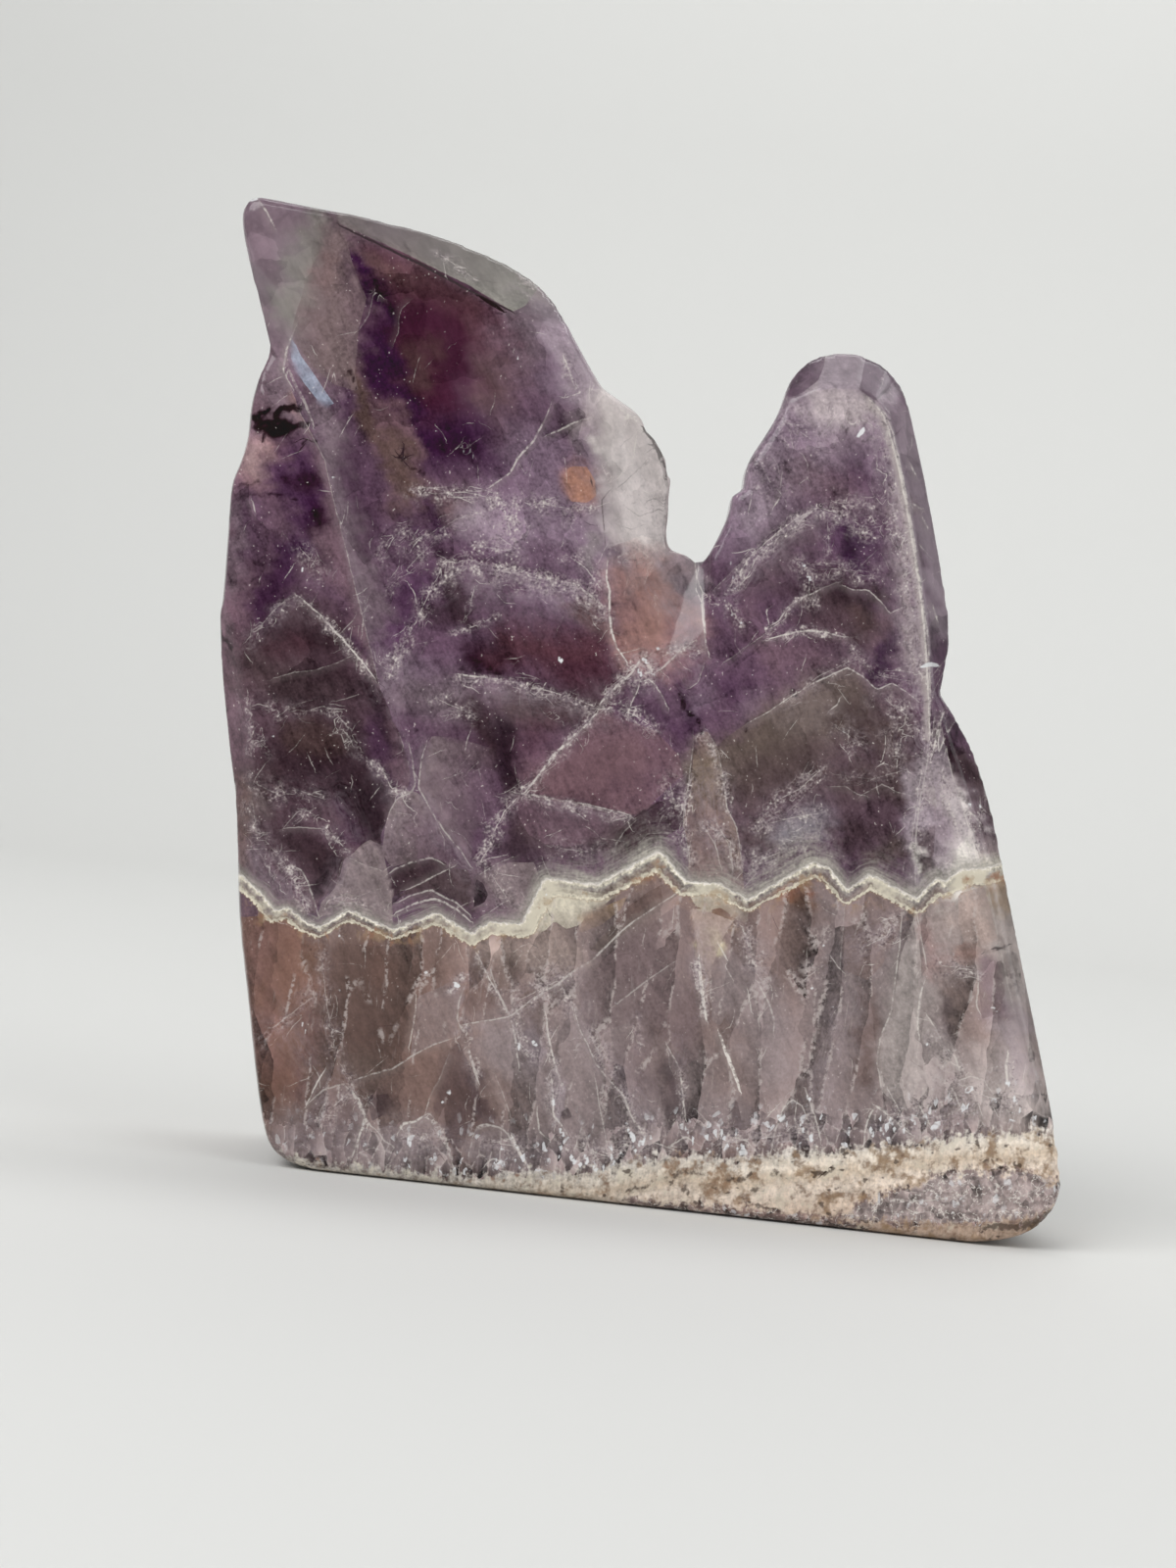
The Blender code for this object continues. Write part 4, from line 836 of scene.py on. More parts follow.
    (0, 0.8, 0.6, 0.8, 680, 1066, 688, 1080, 694, 1092, 697, 1120, 700, 1144),
    (1, 0.95, 1, 1.6, 713, 978, 715, 1000, 717, 1020, 721, 1042),
    (1, 0.98, 1, 1.7, 734, 1054, 741, 1074, 749, 1094, 755, 1113),
    (0, 0.9, 0.8, 0.8, 734, 964, 742, 980), (0, 0.9, 0.7, 0.7, 740, 986, 748, 1000),
    (0, 0.85, 0.6, 0.7, 763, 1010, 767, 1033), (0, 0.8, 0.6, 0.8, 757, 946, 763, 960, 770, 976),
    (0, 0.8, 0.6, 0.9, 772, 1000, 784, 1022, 790, 1040, 789, 1056),
    (0, 0.7, 0.5, 0.6, 862, 926, 860, 950, 857, 985),
    (0, 0.8, 0.7, 0.8, 920, 938, 918, 965, 914, 995, 910, 1030, 898, 1060, 895, 1084, 900, 1114),
    (1, 0.8, 0.7, 0.7, 936, 930, 940, 958, 946, 988),
    (1, 0.9, 0.8, 0.9, 943, 1002, 938, 1020, 936, 1044, 938, 1062, 935, 1078),
    (0, 0.85, 0.7, 0.8, 946, 1036, 955, 1050, 962, 1066, 975, 1078, 980, 1096),
    (0, 0.85, 0.7, 0.8, 998, 994, 998, 1010, 996, 1024, 1000, 1034),
    (0, 0.95, 0.9, 1.4, 1029, 1075, 1027, 1090, 1028, 1104),
    (0, 0.85, 0.8, 0.9, 881, 1170, 883, 1152, 888, 1136, 895, 1128, 902, 1134, 908, 1146),
    (1, 0.85, 0.7, 0.7, 906, 1112, 914, 1126, 922, 1142),
    (0, 0.85, 0.8, 1.0, 366, 1120, 374, 1142, 366, 1160, 364, 1180),
    (0, 0.85, 0.8, 1.0, 412, 1154, 408, 1150, 412, 1146, 422, 1144),
    (0, 0.75, 0.6, 0.8, 430, 1140, 438, 1136, 448, 1148, 456, 1164, 462, 1182),
    (1, 0.7, 0.6, 0.8, 312, 1128, 330, 1112, 350, 1106, 366, 1120),
    (0, 0.95, 0.95, 1.3, 522, 1160, 528, 1172, 534, 1182),
    (0, 0.7, 0.6, 0.8, 480, 1172, 484, 1154, 498, 1148, 514, 1152, 530, 1176),
    (0, 0.9, 0.8, 0.8, 312, 1128, 322, 1108, 331, 1092),
    (0, 0.85, 0.7, 1.4, 356, 1108, 364, 1122, 371, 1136, 379, 1150),
    (1, 0.8, 0.7, 0.8, 372, 1140, 368, 1156, 364, 1168, 358, 1184),
    (0, 0.8, 0.6, 0.7, 383, 1152, 392, 1164, 402, 1170, 396, 1184),
    (1, 0.9, 0.8, 1.0, 406, 1156, 412, 1147, 424, 1144, 432, 1139, 440, 1143),
    (0, 0.85, 0.7, 1.0, 440, 1143, 447, 1157, 456, 1170, 462, 1190),
    (1, 0.85, 0.8, 1.2, 417, 1156, 418, 1172),
    (1, 0.8, 0.6, 0.8, 434, 1136, 438, 1120, 450, 1098, 456, 1080),
    (0, 0.8, 0.7, 0.9, 478, 1180, 482, 1160, 486, 1150, 496, 1147, 512, 1151, 522, 1160),
    (1, 0.95, 0.9, 1.5, 523, 1160, 530, 1176, 541, 1194),
    (1, 0.8, 0.7, 0.8, 494, 1190, 502, 1182, 514, 1186),
    (0, 0.85, 0.7, 0.8, 548, 1130, 550, 1154, 560, 1163),
    (1, 0.85, 0.7, 1.2, 478, 1070, 483, 1088, 488, 1104),
    (0, 0.85, 0.7, 0.8, 786, 1178, 792, 1150, 800, 1130, 808, 1122, 818, 1128, 824, 1142),
    (1, 0.85, 0.7, 0.8, 822, 1112, 828, 1130, 834, 1146, 838, 1166),
    (0, 0.85, 0.7, 0.8, 884, 1132, 900, 1130, 914, 1144, 926, 1152),
    (1, 0.9, 0.8, 0.9, 893, 1128, 906, 1138, 920, 1150, 930, 1158),
    (1, 0.85, 0.7, 0.8, 938, 1128, 946, 1142, 954, 1156),
    (0, 0.85, 0.7, 0.8, 964, 1102, 974, 1114, 980, 1130),
    (1, 0.85, 0.7, 0.8, 976, 1104, 990, 1098, 1004, 1102, 1012, 1114),
    (0, 0.85, 0.7, 0.9, 682, 1170, 700, 1160, 712, 1168),
    (1, 0.85, 0.7, 0.9, 736, 1172, 748, 1160, 762, 1164, 772, 1176),
    (1, 0.85, 0.7, 0.9, 586, 1172, 594, 1150, 602, 1172, 612, 1186),
    (0, 0.1, 0.95, 2.2, 1005, 972, 1014, 969, 1028, 965),
    (0, 0.04, 0.95, 1.3, 837, 1200, 845, 1194, 853, 1188),
    (0, 0.05, 0.8, 1.0, 555, 918, 557, 926, 561, 934),
    (1, 0.15, 0.7, 0.9, 520, 955, 534, 958, 548, 966),
    (0, 0.75, 0.6, 0.9, 905, 1223, 940, 1226, 975, 1221, 1010, 1226, 1045, 1220, 1068, 1208),
    (1, 0.75, 0.6, 0.8, 910, 1240, 912, 1224, 920, 1214),
)

# %% Glints: strength, half width, line
GLINTS = (
    (1, 2, 309, 580, 309, 583), (1, 1.6, 339, 487, 339, 488), (1, 1.6, 344, 487, 345, 487),
    (0.8, 1.4, 272, 577, 279, 578), (0.9, 1.8, 277, 750, 279, 751), (1, 2.2, 570, 671, 574, 676),
    (1, 2.4, 875, 446, 882, 437), (0.9, 1.4, 860, 742, 860, 748), (0.9, 1.4, 863, 746, 863, 751),
    (0.9, 1.6, 783, 718, 784, 718), (0.9, 1.6, 768, 689, 769, 689), (0.9, 1.8, 744, 575, 747, 574),
    (0.9, 1.6, 748, 588, 750, 590), (0.8, 1.4, 742, 598, 744, 599), (0.8, 1.6, 750, 601, 752, 600),
    (0.8, 1.8, 818, 575, 822, 578), (0.8, 1.6, 824, 588, 828, 592), (0.8, 1.4, 745, 625, 748, 628),
    (0.8, 1.4, 754, 633, 758, 637), (1, 2.4, 939, 681, 948, 678, 958, 679),
    (1, 1.8, 989, 820, 990, 822), (1, 1.8, 1000, 822, 1001, 824), (0.9, 1.6, 527, 364, 529, 366),
    (0.8, 1.4, 445, 440, 446, 440), (0.8, 1.4, 500, 420, 501, 421), (0.8, 1.4, 530, 427, 531, 427),
    (0.4, 0.8, 470, 456, 476, 466), (0.4, 0.8, 480, 458, 484, 470), (1, 1.8, 308, 1043, 308, 1047),
    (0.9, 1.6, 312, 1051, 312, 1054), (1, 2.6, 463, 1003, 468, 1007),
    (0.8, 1.5, 433, 991, 436, 993), (0.8, 1.5, 346, 954, 347, 956), (0.9, 2, 458, 1112, 458, 1117),
    (0.9, 1.6, 463, 1125, 464, 1127), (0.9, 1.6, 451, 1124, 453, 1126),
    (1, 2, 417, 1160, 418, 1171), (0.9, 1.8, 505, 1181, 506, 1186),
    (0.9, 1.8, 511, 1170, 514, 1175), (0.9, 1.8, 526, 1168, 529, 1173),
    (1, 2.6, 590, 1185, 594, 1192), (1, 2.2, 597, 1178, 600, 1188), (0.9, 2, 606, 1190, 609, 1196),
    (1, 2.4, 644, 1155, 647, 1166), (1, 2, 654, 1163, 657, 1168), (0.8, 1.8, 827, 1007, 830, 1010),
    (0.9, 1.6, 848, 1025, 850, 1028), (0.8, 1.5, 840, 964, 842, 966), (1, 2, 794, 1138, 797, 1144),
    (1, 2, 824, 1118, 827, 1124), (0.9, 1.8, 944, 1063, 947, 1067),
    (1, 2.2, 1028, 1102, 1029, 1108), (0.8, 1.6, 971, 973, 974, 975),
    (0.8, 1.5, 345, 1009, 346, 1012), (0.9, 2, 655, 671, 662, 678), (0.9, 2, 650, 682, 655, 690),
    (0.9, 1.8, 664, 684, 668, 690), (0.9, 2, 563, 1120, 566, 1130),
    (0.9, 2.2, 570, 1150, 576, 1160), (0.8, 1.8, 700, 1150, 702, 1158),
    (0.9, 1.8, 735, 1150, 737, 1160), (0.8, 1.8, 757, 1172, 759, 1178),
    (0.9, 2, 888, 1150, 891, 1160), (0.8, 1.8, 912, 1150, 914, 1156),
    (0.9, 1.8, 1036, 1120, 1037, 1128), (0.8, 1.8, 985, 1112, 988, 1116),
    (0.8, 1.6, 628, 1022, 630, 1026), (0.8, 1.6, 557, 912, 559, 914),
    (0.9, 1.8, 640, 1150, 644, 1158), (1, 2, 646, 1170, 650, 1178),
    (0.8, 1.6, 622, 1176, 628, 1190), (0.9, 1.6, 614, 1186, 618, 1200),
    (1, 2, 582, 1178, 586, 1188), (0.8, 1.4, 662, 1158, 666, 1164),
    (0.9, 1.6, 752, 1170, 756, 1180), (0.8, 1.5, 762, 1174, 764, 1184),
    (0.8, 1.5, 800, 1136, 803, 1150), (0.9, 1.6, 816, 1146, 822, 1158),
    (0.9, 1.8, 826, 1160, 830, 1166), (0.8, 1.5, 898, 1150, 902, 1160),
    (0.9, 1.6, 920, 1148, 924, 1158), (0.8, 1.5, 930, 1140, 936, 1150),
    (0.8, 1.5, 958, 1146, 960, 1156), (0.9, 1.6, 990, 1108, 994, 1114),
    (0.9, 1.8, 1034, 1118, 1036, 1126), (0.8, 1.6, 1040, 1130, 1042, 1138),
    (0.8, 1.5, 1012, 1028, 1018, 1032), (0.9, 1.5, 722, 1172, 726, 1178),
    (0.9, 1.6, 1008, 1226, 1010, 1230), (0.8, 1.4, 972, 1236, 974, 1240),
    (0.9, 1.5, 1034, 1238, 1036, 1240), (0.8, 1.4, 990, 1206, 992, 1210),
    (1, 2, 252, 204, 262, 203), (0.9, 1.6, 670, 660, 673, 664), (0.9, 1.8, 543, 1062, 548, 1068),
    (0.9, 1.8, 528, 1060, 530, 1072),
)

# %% Calm places: strength, width, line
CALM = (
    (1, 45, 285, 235, 290, 320), (0.9, 26, 400, 225, 470, 260, 540, 290),
    (0.85, 48, 440, 330, 480, 400), (0.6, 40, 560, 350, 590, 410), (0.5, 18, 335, 260, 335, 360),
    (0.9, 34, 650, 420, 655, 530), (0.9, 26, 612, 400, 618, 470, 622, 540),
    (0.7, 30, 665, 590, 680, 650), (0.6, 14, 345, 450, 360, 560, 376, 640),
    (0.7, 24, 590, 785, 650, 780), (0.7, 22, 440, 780, 465, 850), (0.7, 18, 850, 375, 885, 380),
    (0.9, 14, 925, 430, 950, 540, 965, 640), (0.6, 34, 780, 765, 850, 730),
    (0.5, 20, 370, 900, 385, 920), (0.4, 30, 370, 1000, 380, 1050), (0.5, 30, 270, 980, 280, 1110),
    (0.5, 24, 920, 990, 925, 1060), (0.5, 24, 1030, 990, 1045, 1100), (0.6, 20, 755, 560, 765, 600),
    (0.5, 14, 965, 800, 980, 870),
)
print(len(FACETS), "facets", len(VEILS_AND_SHEEN), "veils", len(SHADOWS), "shadows", len(CRACKS_AND_HIGHLIGHTS), "cracks")

# %% [markdown]
# ## The zigzag band, the crust and the clear parts
# A white band in zigzags parts the purple points from the pale root. Its distance field gives all
# its thin layers at once: the shader only asks how far above or below the middle line a point is.
# The crust along the base and the see-through parts are outlines like the facets.

# %% Band, crust and clear parts
BAND = (
    180, 870, 243, 897, 264, 915, 278, 934, 293, 931, 308, 943, 325, 951, 356, 933, 402, 953, 445,
    936, 481, 958, 500, 946, 536, 948, 559, 903, 611, 909, 672, 876, 698, 905, 732, 906, 763, 923,
    829, 886, 843, 890, 864, 915, 888, 898, 936, 924, 957, 902, 964, 906, 984, 893, 1004, 893, 1025,
    887, 1100, 870,
)
BAND_LOOK = (
    # place along the view, thickness, strength and reach of the haze above, share of the gap filled
    (243, 0.8, 0.4, 8, 0.5), (300, 0.75, 0.3, 8, 0.3), (325, 0.65, 0.2, 6, 0.2),
    (400, 0.65, 0.2, 7, 0.2), (480, 0.75, 0.4, 8, 0.5), (536, 0.9, 0.6, 12, 0.6),
    (560, 1.1, 1.0, 18, 0.6), (611, 1.1, 1.0, 24, 0.2), (672, 1.2, 1.0, 26, 0.3),
    (690, 1.0, 0.7, 22, 0), (720, 0.8, 0.7, 24, 0.6), (763, 0.75, 0.8, 34, 0.2),
    (829, 0.95, 0.95, 40, 0.3), (870, 0.8, 0.6, 18, 0), (900, 0.95, 0.8, 22, 0.6),
    (925, 0.9, 0.8, 22, 0.4), (940, 0.9, 0.7, 22, 0), (965, 1.0, 0.4, 14, 0.1),
    (982, 1.1, 0.3, 12, 0.9), (1003, 1.1, 0.3, 12, 1), (1008, 1.1, 0.3, 12, 0.2),
    (1030, 1.1, 0.3, 12, 0.4),
)
CRUST = (
    100, 1168, 300, 1182, 400, 1194, 470, 1200, 540, 1196, 600, 1196, 650, 1184, 690, 1178, 750,
    1184, 800, 1176, 850, 1174, 900, 1168, 950, 1162, 1000, 1158, 1060, 1152, 1180, 1145, 1180,
    1500, 100, 1500,
)
POLISHED = (
    # smooth stone again below the crust: the lens at the right and the strip along the base
    (852, 1244, 880, 1227, 905, 1219, 930, 1208, 955, 1199, 985, 1195, 1020, 1194, 1050, 1197, 1078,
     1206, 1090, 1218, 1078, 1234, 1050, 1243, 1010, 1247, 960, 1249, 900, 1247),
    (640, 1226, 700, 1228, 760, 1232, 820, 1240, 880, 1252, 900, 1300, 600, 1300),
)
CLEAR = (
    # how clear, outline
    (0.22, (200, 150, 346, 150, 346, 229, 333, 245, 318, 270, 308, 300, 300, 330, 294, 352, 276,
     352, 200, 340)),
    (0.32, (346, 150, 346, 229, 420, 262, 480, 292, 523, 318, 560, 330, 600, 330, 600, 200)),
    (0.15, (612, 380, 618, 432, 612, 466, 616, 500, 620, 553, 640, 565, 700, 560, 720, 400)),
    (0.28, (620, 555, 626, 640, 640, 672, 690, 672, 712, 655, 718, 600, 712, 560, 680, 545)),
    (0.3, (803, 330, 803, 412, 834, 399, 869, 397, 891, 411, 925, 411, 925, 330)),
    (0.25, (891, 411, 921, 486, 942, 617, 949, 752, 990, 752, 990, 480, 940, 400)),
    (0.3, (1000, 905, 1040, 1060, 1062, 1150, 1100, 1150, 1100, 900)),
)
print("band corners", len(BAND) // 2)

# %% [markdown]
# ## Painting the points
# Every stroke and outline becomes a value on the points near it. Colours cover what lies below
# them, in the order of the list. Veils and shadows keep the strongest value. The colour masses
# have ragged borders in the stone, so for them the plane is rippled first by some crossing waves.

# %% Ripple the plane
SEED = 11
CROSSING_WAVES = 7
chance = np.random.default_rng(SEED)


def ripple(size, amount):
    """A smooth random shift of the drawing plane."""
    shift = np.zeros_like(spot)
    for _ in range(CROSSING_WAVES):
        run = chance.normal(size=2)
        length = size * np.hypot(*run) * chance.uniform(0.6, 1.5)
        wave = np.sin(spot @ run * 2 * math.pi / length + chance.uniform(0, 6.3))
        shift += wave[:, None] * chance.normal(size=2) * amount / 2
    return shift


ragged = spot + ripple(90, 4) + ripple(34, 3) + ripple(15, 2)
close_by = spot + ripple(30, 1) + ripple(12, 0.8)
print("largest ripples", [np.abs(p - spot).max().round(1) for p in (ragged, close_by)])


# %% Paint the colour masses
SOFT_EDGE = 2.4  # the power of their fading


def cover(strokes, ground):
    """Paints soft strokes of colour over a ground colour and returns one colour for each point."""
    coat = np.tile(ground, (count, 1))
    for name, strength, width, *line in strokes:
        close = near(line, width * 2.4 + 12)
        far, _, _ = nearest(ragged[close], line)
        share = (strength * fade(far / width, 1.08, SOFT_EDGE))[:, None]
        coat[close] = coat[close] * (1 - share) + linear(name) * share
    return coat


band_mid, band_side, _ = nearest(spot, BAND)
band = -band_side * band_mid / PER_MM
tone = np.where(band[:, None] > 0, cover(MAIN, linear("purple")), cover(ROOT, linear("taupe")))
left_tone = cover(LEFT, linear("mauve"))
print("mean tone", tone.mean(axis=0).round(3))


# %% Paint veils and shadows
STROKE_GAP = 170  # keeps the streaks of one stroke from running on in the next


def strongest(rows, spread=1.0):
    """The strongest stroke's value at each point, and the place along and across it in mm."""
    value = np.zeros(count)
    flow = np.zeros((count, 2))
    for k, (strength, left, right, *line) in enumerate(rows):
        close = near(line, 3.2 * spread * max(left, right) + 6)
        far, side, along = nearest(close_by[close], line)
        reach = np.where(side < 0, left, right) * spread + 1
        new = strength * fade(far, reach, 1.6)
        better = new > value[close]
        won = close[better]
        value[won] = new[better]
        length = corners_of(line)[1].sum()
        place_on = np.stack([along * length + STROKE_GAP * k, far * side], axis=1)
        flow[won] = place_on[better] / PER_MM
    return value, flow


grain, _ = strongest([v[1:] for v in VEILS_AND_SHEEN if v[0] == "grain"], 1.35)
mist, _ = strongest([v[1:] for v in VEILS_AND_SHEEN if v[0] == "mist"], 1.15)
_, flow = strongest([v[1:] for v in VEILS_AND_SHEEN], 1.35)
shadow, _ = strongest(SHADOWS)
print("veiled points", int((grain > 0.2).sum()), "shadowed", int((shadow > 0.2).sum()))

# %% Paint the haze of the lopsided veils: light on the open side, dark on the clean one
LOPSIDED = 1.6

sheet = np.zeros(count)
for kind, strength, left, right, *line in VEILS_AND_SHEEN:
    wide, narrow = max(left, right), min(left, right)
    if kind == "grain" and wide > LOPSIDED * narrow:
        close = near(line, 9 * wide + 8)
        far, side, along = nearest(close_by[close], line)
        ends = np.sin(along.clip(0.02, 0.98) * math.pi) ** 0.5
        light = strength * fade(far, 3.6 * wide, 1.1) * ends
        dark = -strength * fade(far, 9, 1.2) * ends
        new = np.where(side == np.sign(right - left), light, dark)
        sheet[close] = np.where(np.abs(new) > np.abs(sheet[close]), new, sheet[close])
print("points in the haze of a veil", int((np.abs(sheet) > 0.2).sum()))

# %% Paint the band's haze, the calm places, the crust and the clear parts
look = np.array(BAND_LOOK, float)
band_width, band_haze, band_reach, filling = (
    np.interp(spot[:, 0], look[:, 0], column) for column in look[:, 1:].T
)
haze = band_haze * fade((band - 0.3).clip(0), band_reach / PER_MM, 1.2)
haze = np.where(band > 0, haze, 0)
calm = np.zeros(count)
for strength, width, *line in CALM:
    calm = np.maximum(calm, strength * fade(nearest(ragged, line)[0], width, SOFT_EDGE))
base_line = inside(spot, CRUST) / PER_MM
crust = np.min([base_line] + [-inside(spot, outline) / PER_MM for outline in POLISHED], axis=0)
clear = np.zeros(count)
for amount, outline in CLEAR:
    clear = np.maximum(clear, amount * (0.5 + inside(spot, outline) / 12).clip(0, 1))
print("calm points", int((calm > 0.2).sum()), "clear", int((clear > 0.2).sum()))


# %% Keep the nearest facet and crack of each set
FAR_OFF = 999.0  # farther than anything on the plane


def keep_facets(chosen):
    """Colour, cover and signed distance in mm of the nearest outline of one set."""
    coat = np.zeros((count, 4))
    best = np.full(count, -FAR_OFF)
    for _, name, amount, fade_line, outline in chosen:
        far = inside(spot, outline)
        full = np.full(count, float(amount))
        if fade_line:
            start, end = corners_of(fade_line)[0]
            run = end - start
            full *= 1 - (((spot - start) @ run) / (run @ run)).clip(0, 1)
        closer = far > best
        best = np.where(closer, far, best)
        coat[closer, :3] = linear(name)
        coat[closer, 3] = full[closer]
    return coat, best / PER_MM


def keep_cracks(chosen):
    """Signed and plain distance in mm to the nearest crack of a set, and its three values."""
    best = np.full(count, FAR_OFF)
    signed = np.full(count, FAR_OFF / 10)
    shape = np.zeros((count, 3))
    for bright, strength, half, *line in chosen:
        close = near(line, 30)
        far, side, along = nearest(spot[close], line)
        closer = far < best[close]
        won = close[closer]
        best[won] = far[closer]
        signed[won] = (far * side)[closer]
        taper = np.sin(np.clip(along[closer] * 0.9 + 0.05, 0, 1) * math.pi) ** 0.4
        shape[won, 0] = half / PER_MM * taper
        shape[won, 1:] = bright, strength
    return signed / PER_MM, best / PER_MM, shape


facets = [keep_facets([f for f in FACETS if f[0] == k]) for k in (0, 1)]
print("points in facets", [int((far > 0).sum()) for _, far in facets])


# %% Scatter fine cracks
HAIR_SPACING = 9
SCRATCHES = 420


def bent(start, step, bend):
    """A short line of three corners, with the middle one pushed aside."""
    return (*start, *(start + step / 2 + bend), *(start + step))


def hairs(rows, spacing):
    """Fine short cracks scattered along the veils, more or less in the direction of each veil."""
    made = []
    for kind, strength, left, right, *line in rows:
        if kind == "grain":
            made.append((1.0, strength, 0.4, *line))
        ends, sizes = corners_of(line)
        for a, b, size in zip(ends, ends[1:], sizes):
            ahead = (b - a) / size
            aside = np.array([-ahead[1], ahead[0]])
            for _ in range(int(size * strength / spacing + chance.uniform(0, 1))):
                start = a + (b - a) * chance.uniform() + aside * chance.uniform(-left, right) * 1.5
                turned = chance.normal(0, 0.5)
                step = ahead * math.cos(turned) + aside * math.sin(turned)
                shape = bent(start, step * chance.uniform(6, 26), aside * chance.normal(0, 2.5))
                bright = float(chance.uniform() < 0.8)
                made.append((bright, chance.uniform(0.25, 0.85), chance.uniform(0.15, 0.4), *shape))
    return made


def scattered(number):
    """Fine short scratches anywhere in the stone, most of them leaning a little to the right."""
    made = []
    for _ in range(number):
        start = np.array([chance.uniform(230, 1050), chance.uniform(330, 1170)])
        lean = chance.normal(-1.2, 0.7)
        step = np.array([math.cos(lean), math.sin(lean)]) * chance.uniform(5, 26)
        shape = bent(start, step, chance.normal(0, 0.7, size=2))
        bright = float(chance.uniform() < 0.85)
        made.append((bright, chance.uniform(0.2, 0.7), chance.uniform(0.2, 0.5), *shape))
    return made


fine_hairs = hairs(VEILS_AND_SHEEN, HAIR_SPACING) + scattered(SCRATCHES)
cracks = [keep_cracks([c[1:] for c in CRACKS_AND_HIGHLIGHTS if c[0] == k]) for k in (0, 1)]
cracks.append(keep_cracks(fine_hairs))
_, glint_far, glint_shape = keep_cracks([(1.0, *row) for row in GLINTS])
left_side = inside(spot, LEFT_CRYSTAL) / PER_MM
print("hairs", len(fine_hairs), "cracks", len(CRACKS_AND_HIGHLIGHTS), "glints", len(GLINTS))


# %% Store everything on the mesh
def store(name, *columns):
    """Writes three numbers for each point as a vector attribute, or four as a colour."""
    values = np.column_stack(columns)
    kind, slot = {3: ("FLOAT_VECTOR", "vector"), 4: ("FLOAT_COLOR", "color")}[values.shape[1]]
    attribute = stone.data.attributes.new(name, kind, "POINT")
    attribute.data.foreach_set(slot, np.ravel(values).astype(np.float32))


none, full = np.zeros(count), np.ones(count)
store("tone", tone, full)
store("left_tone", left_tone, full)
store("veils", grain, mist, shadow)
store("layers", band, band_width, left_side)
store("places", crust, clear, base_line)
store("glints", glint_far, glint_shape[:, 0], glint_shape[:, 2])
store("extra", haze, calm, sheet)
store("flow", flow * MM, none)
store("filling", filling, none, none)
for k, (signed, far, shape) in enumerate(cracks):
    has_facets = k < len(facets)
    store(f"crack_{k}", shape)
    store(f"edges_{k}", facets[k][1] if has_facets else none, signed, far)
    if has_facets:
        store(f"facet_{k}", facets[k][0])
print("attributes", [a.name for a in stone.data.attributes if not a.name.startswith(".")])

# %% Carve the crust a little into the surface, but not into the base that it stands on
CARVE_DEPTH = 0.3 * MM
CRUMB_SIZE = 1.1 * MM
BASE_HEIGHT = 1.0 * MM

normals = np.empty(count * 3)
stone.data.vertices.foreach_get("normal", normals)
normals = normals.reshape(-1, 3)
sunk = np.flatnonzero((crust > 0) & (co[:, 2] > BASE_HEIGHT) & (normals[:, 2] > -0.7))
cloud = [mathutils.noise.fractal(Vector(co[k]) / CRUMB_SIZE, 0.6, 2.1, 4) for k in sunk]
carve = CARVE_DEPTH * (0.45 + np.array(cloud)).clip(0, 1) * (crust[sunk] / 0.6).clip(0, 1)
co[sunk] -= normals[sunk] * carve[:, None]
stone.data.vertices.foreach_set("co", co.ravel())
stone.data.update()
for polygon in stone.data.polygons:
    polygon.use_smooth = True
print("carved points", len(sunk), "deepest", round(carve.max() / MM, 2), "mm")

# %% [markdown]
# ## Shader maths
# A wire is one output socket. Python's operators add Math nodes, so a mask can be written as a
# short sum, and one method adds any other node. Two methods are used all the time: rise turns a
# value into a mask with a soft edge, and swing makes a cloudy value push both ways around zero.

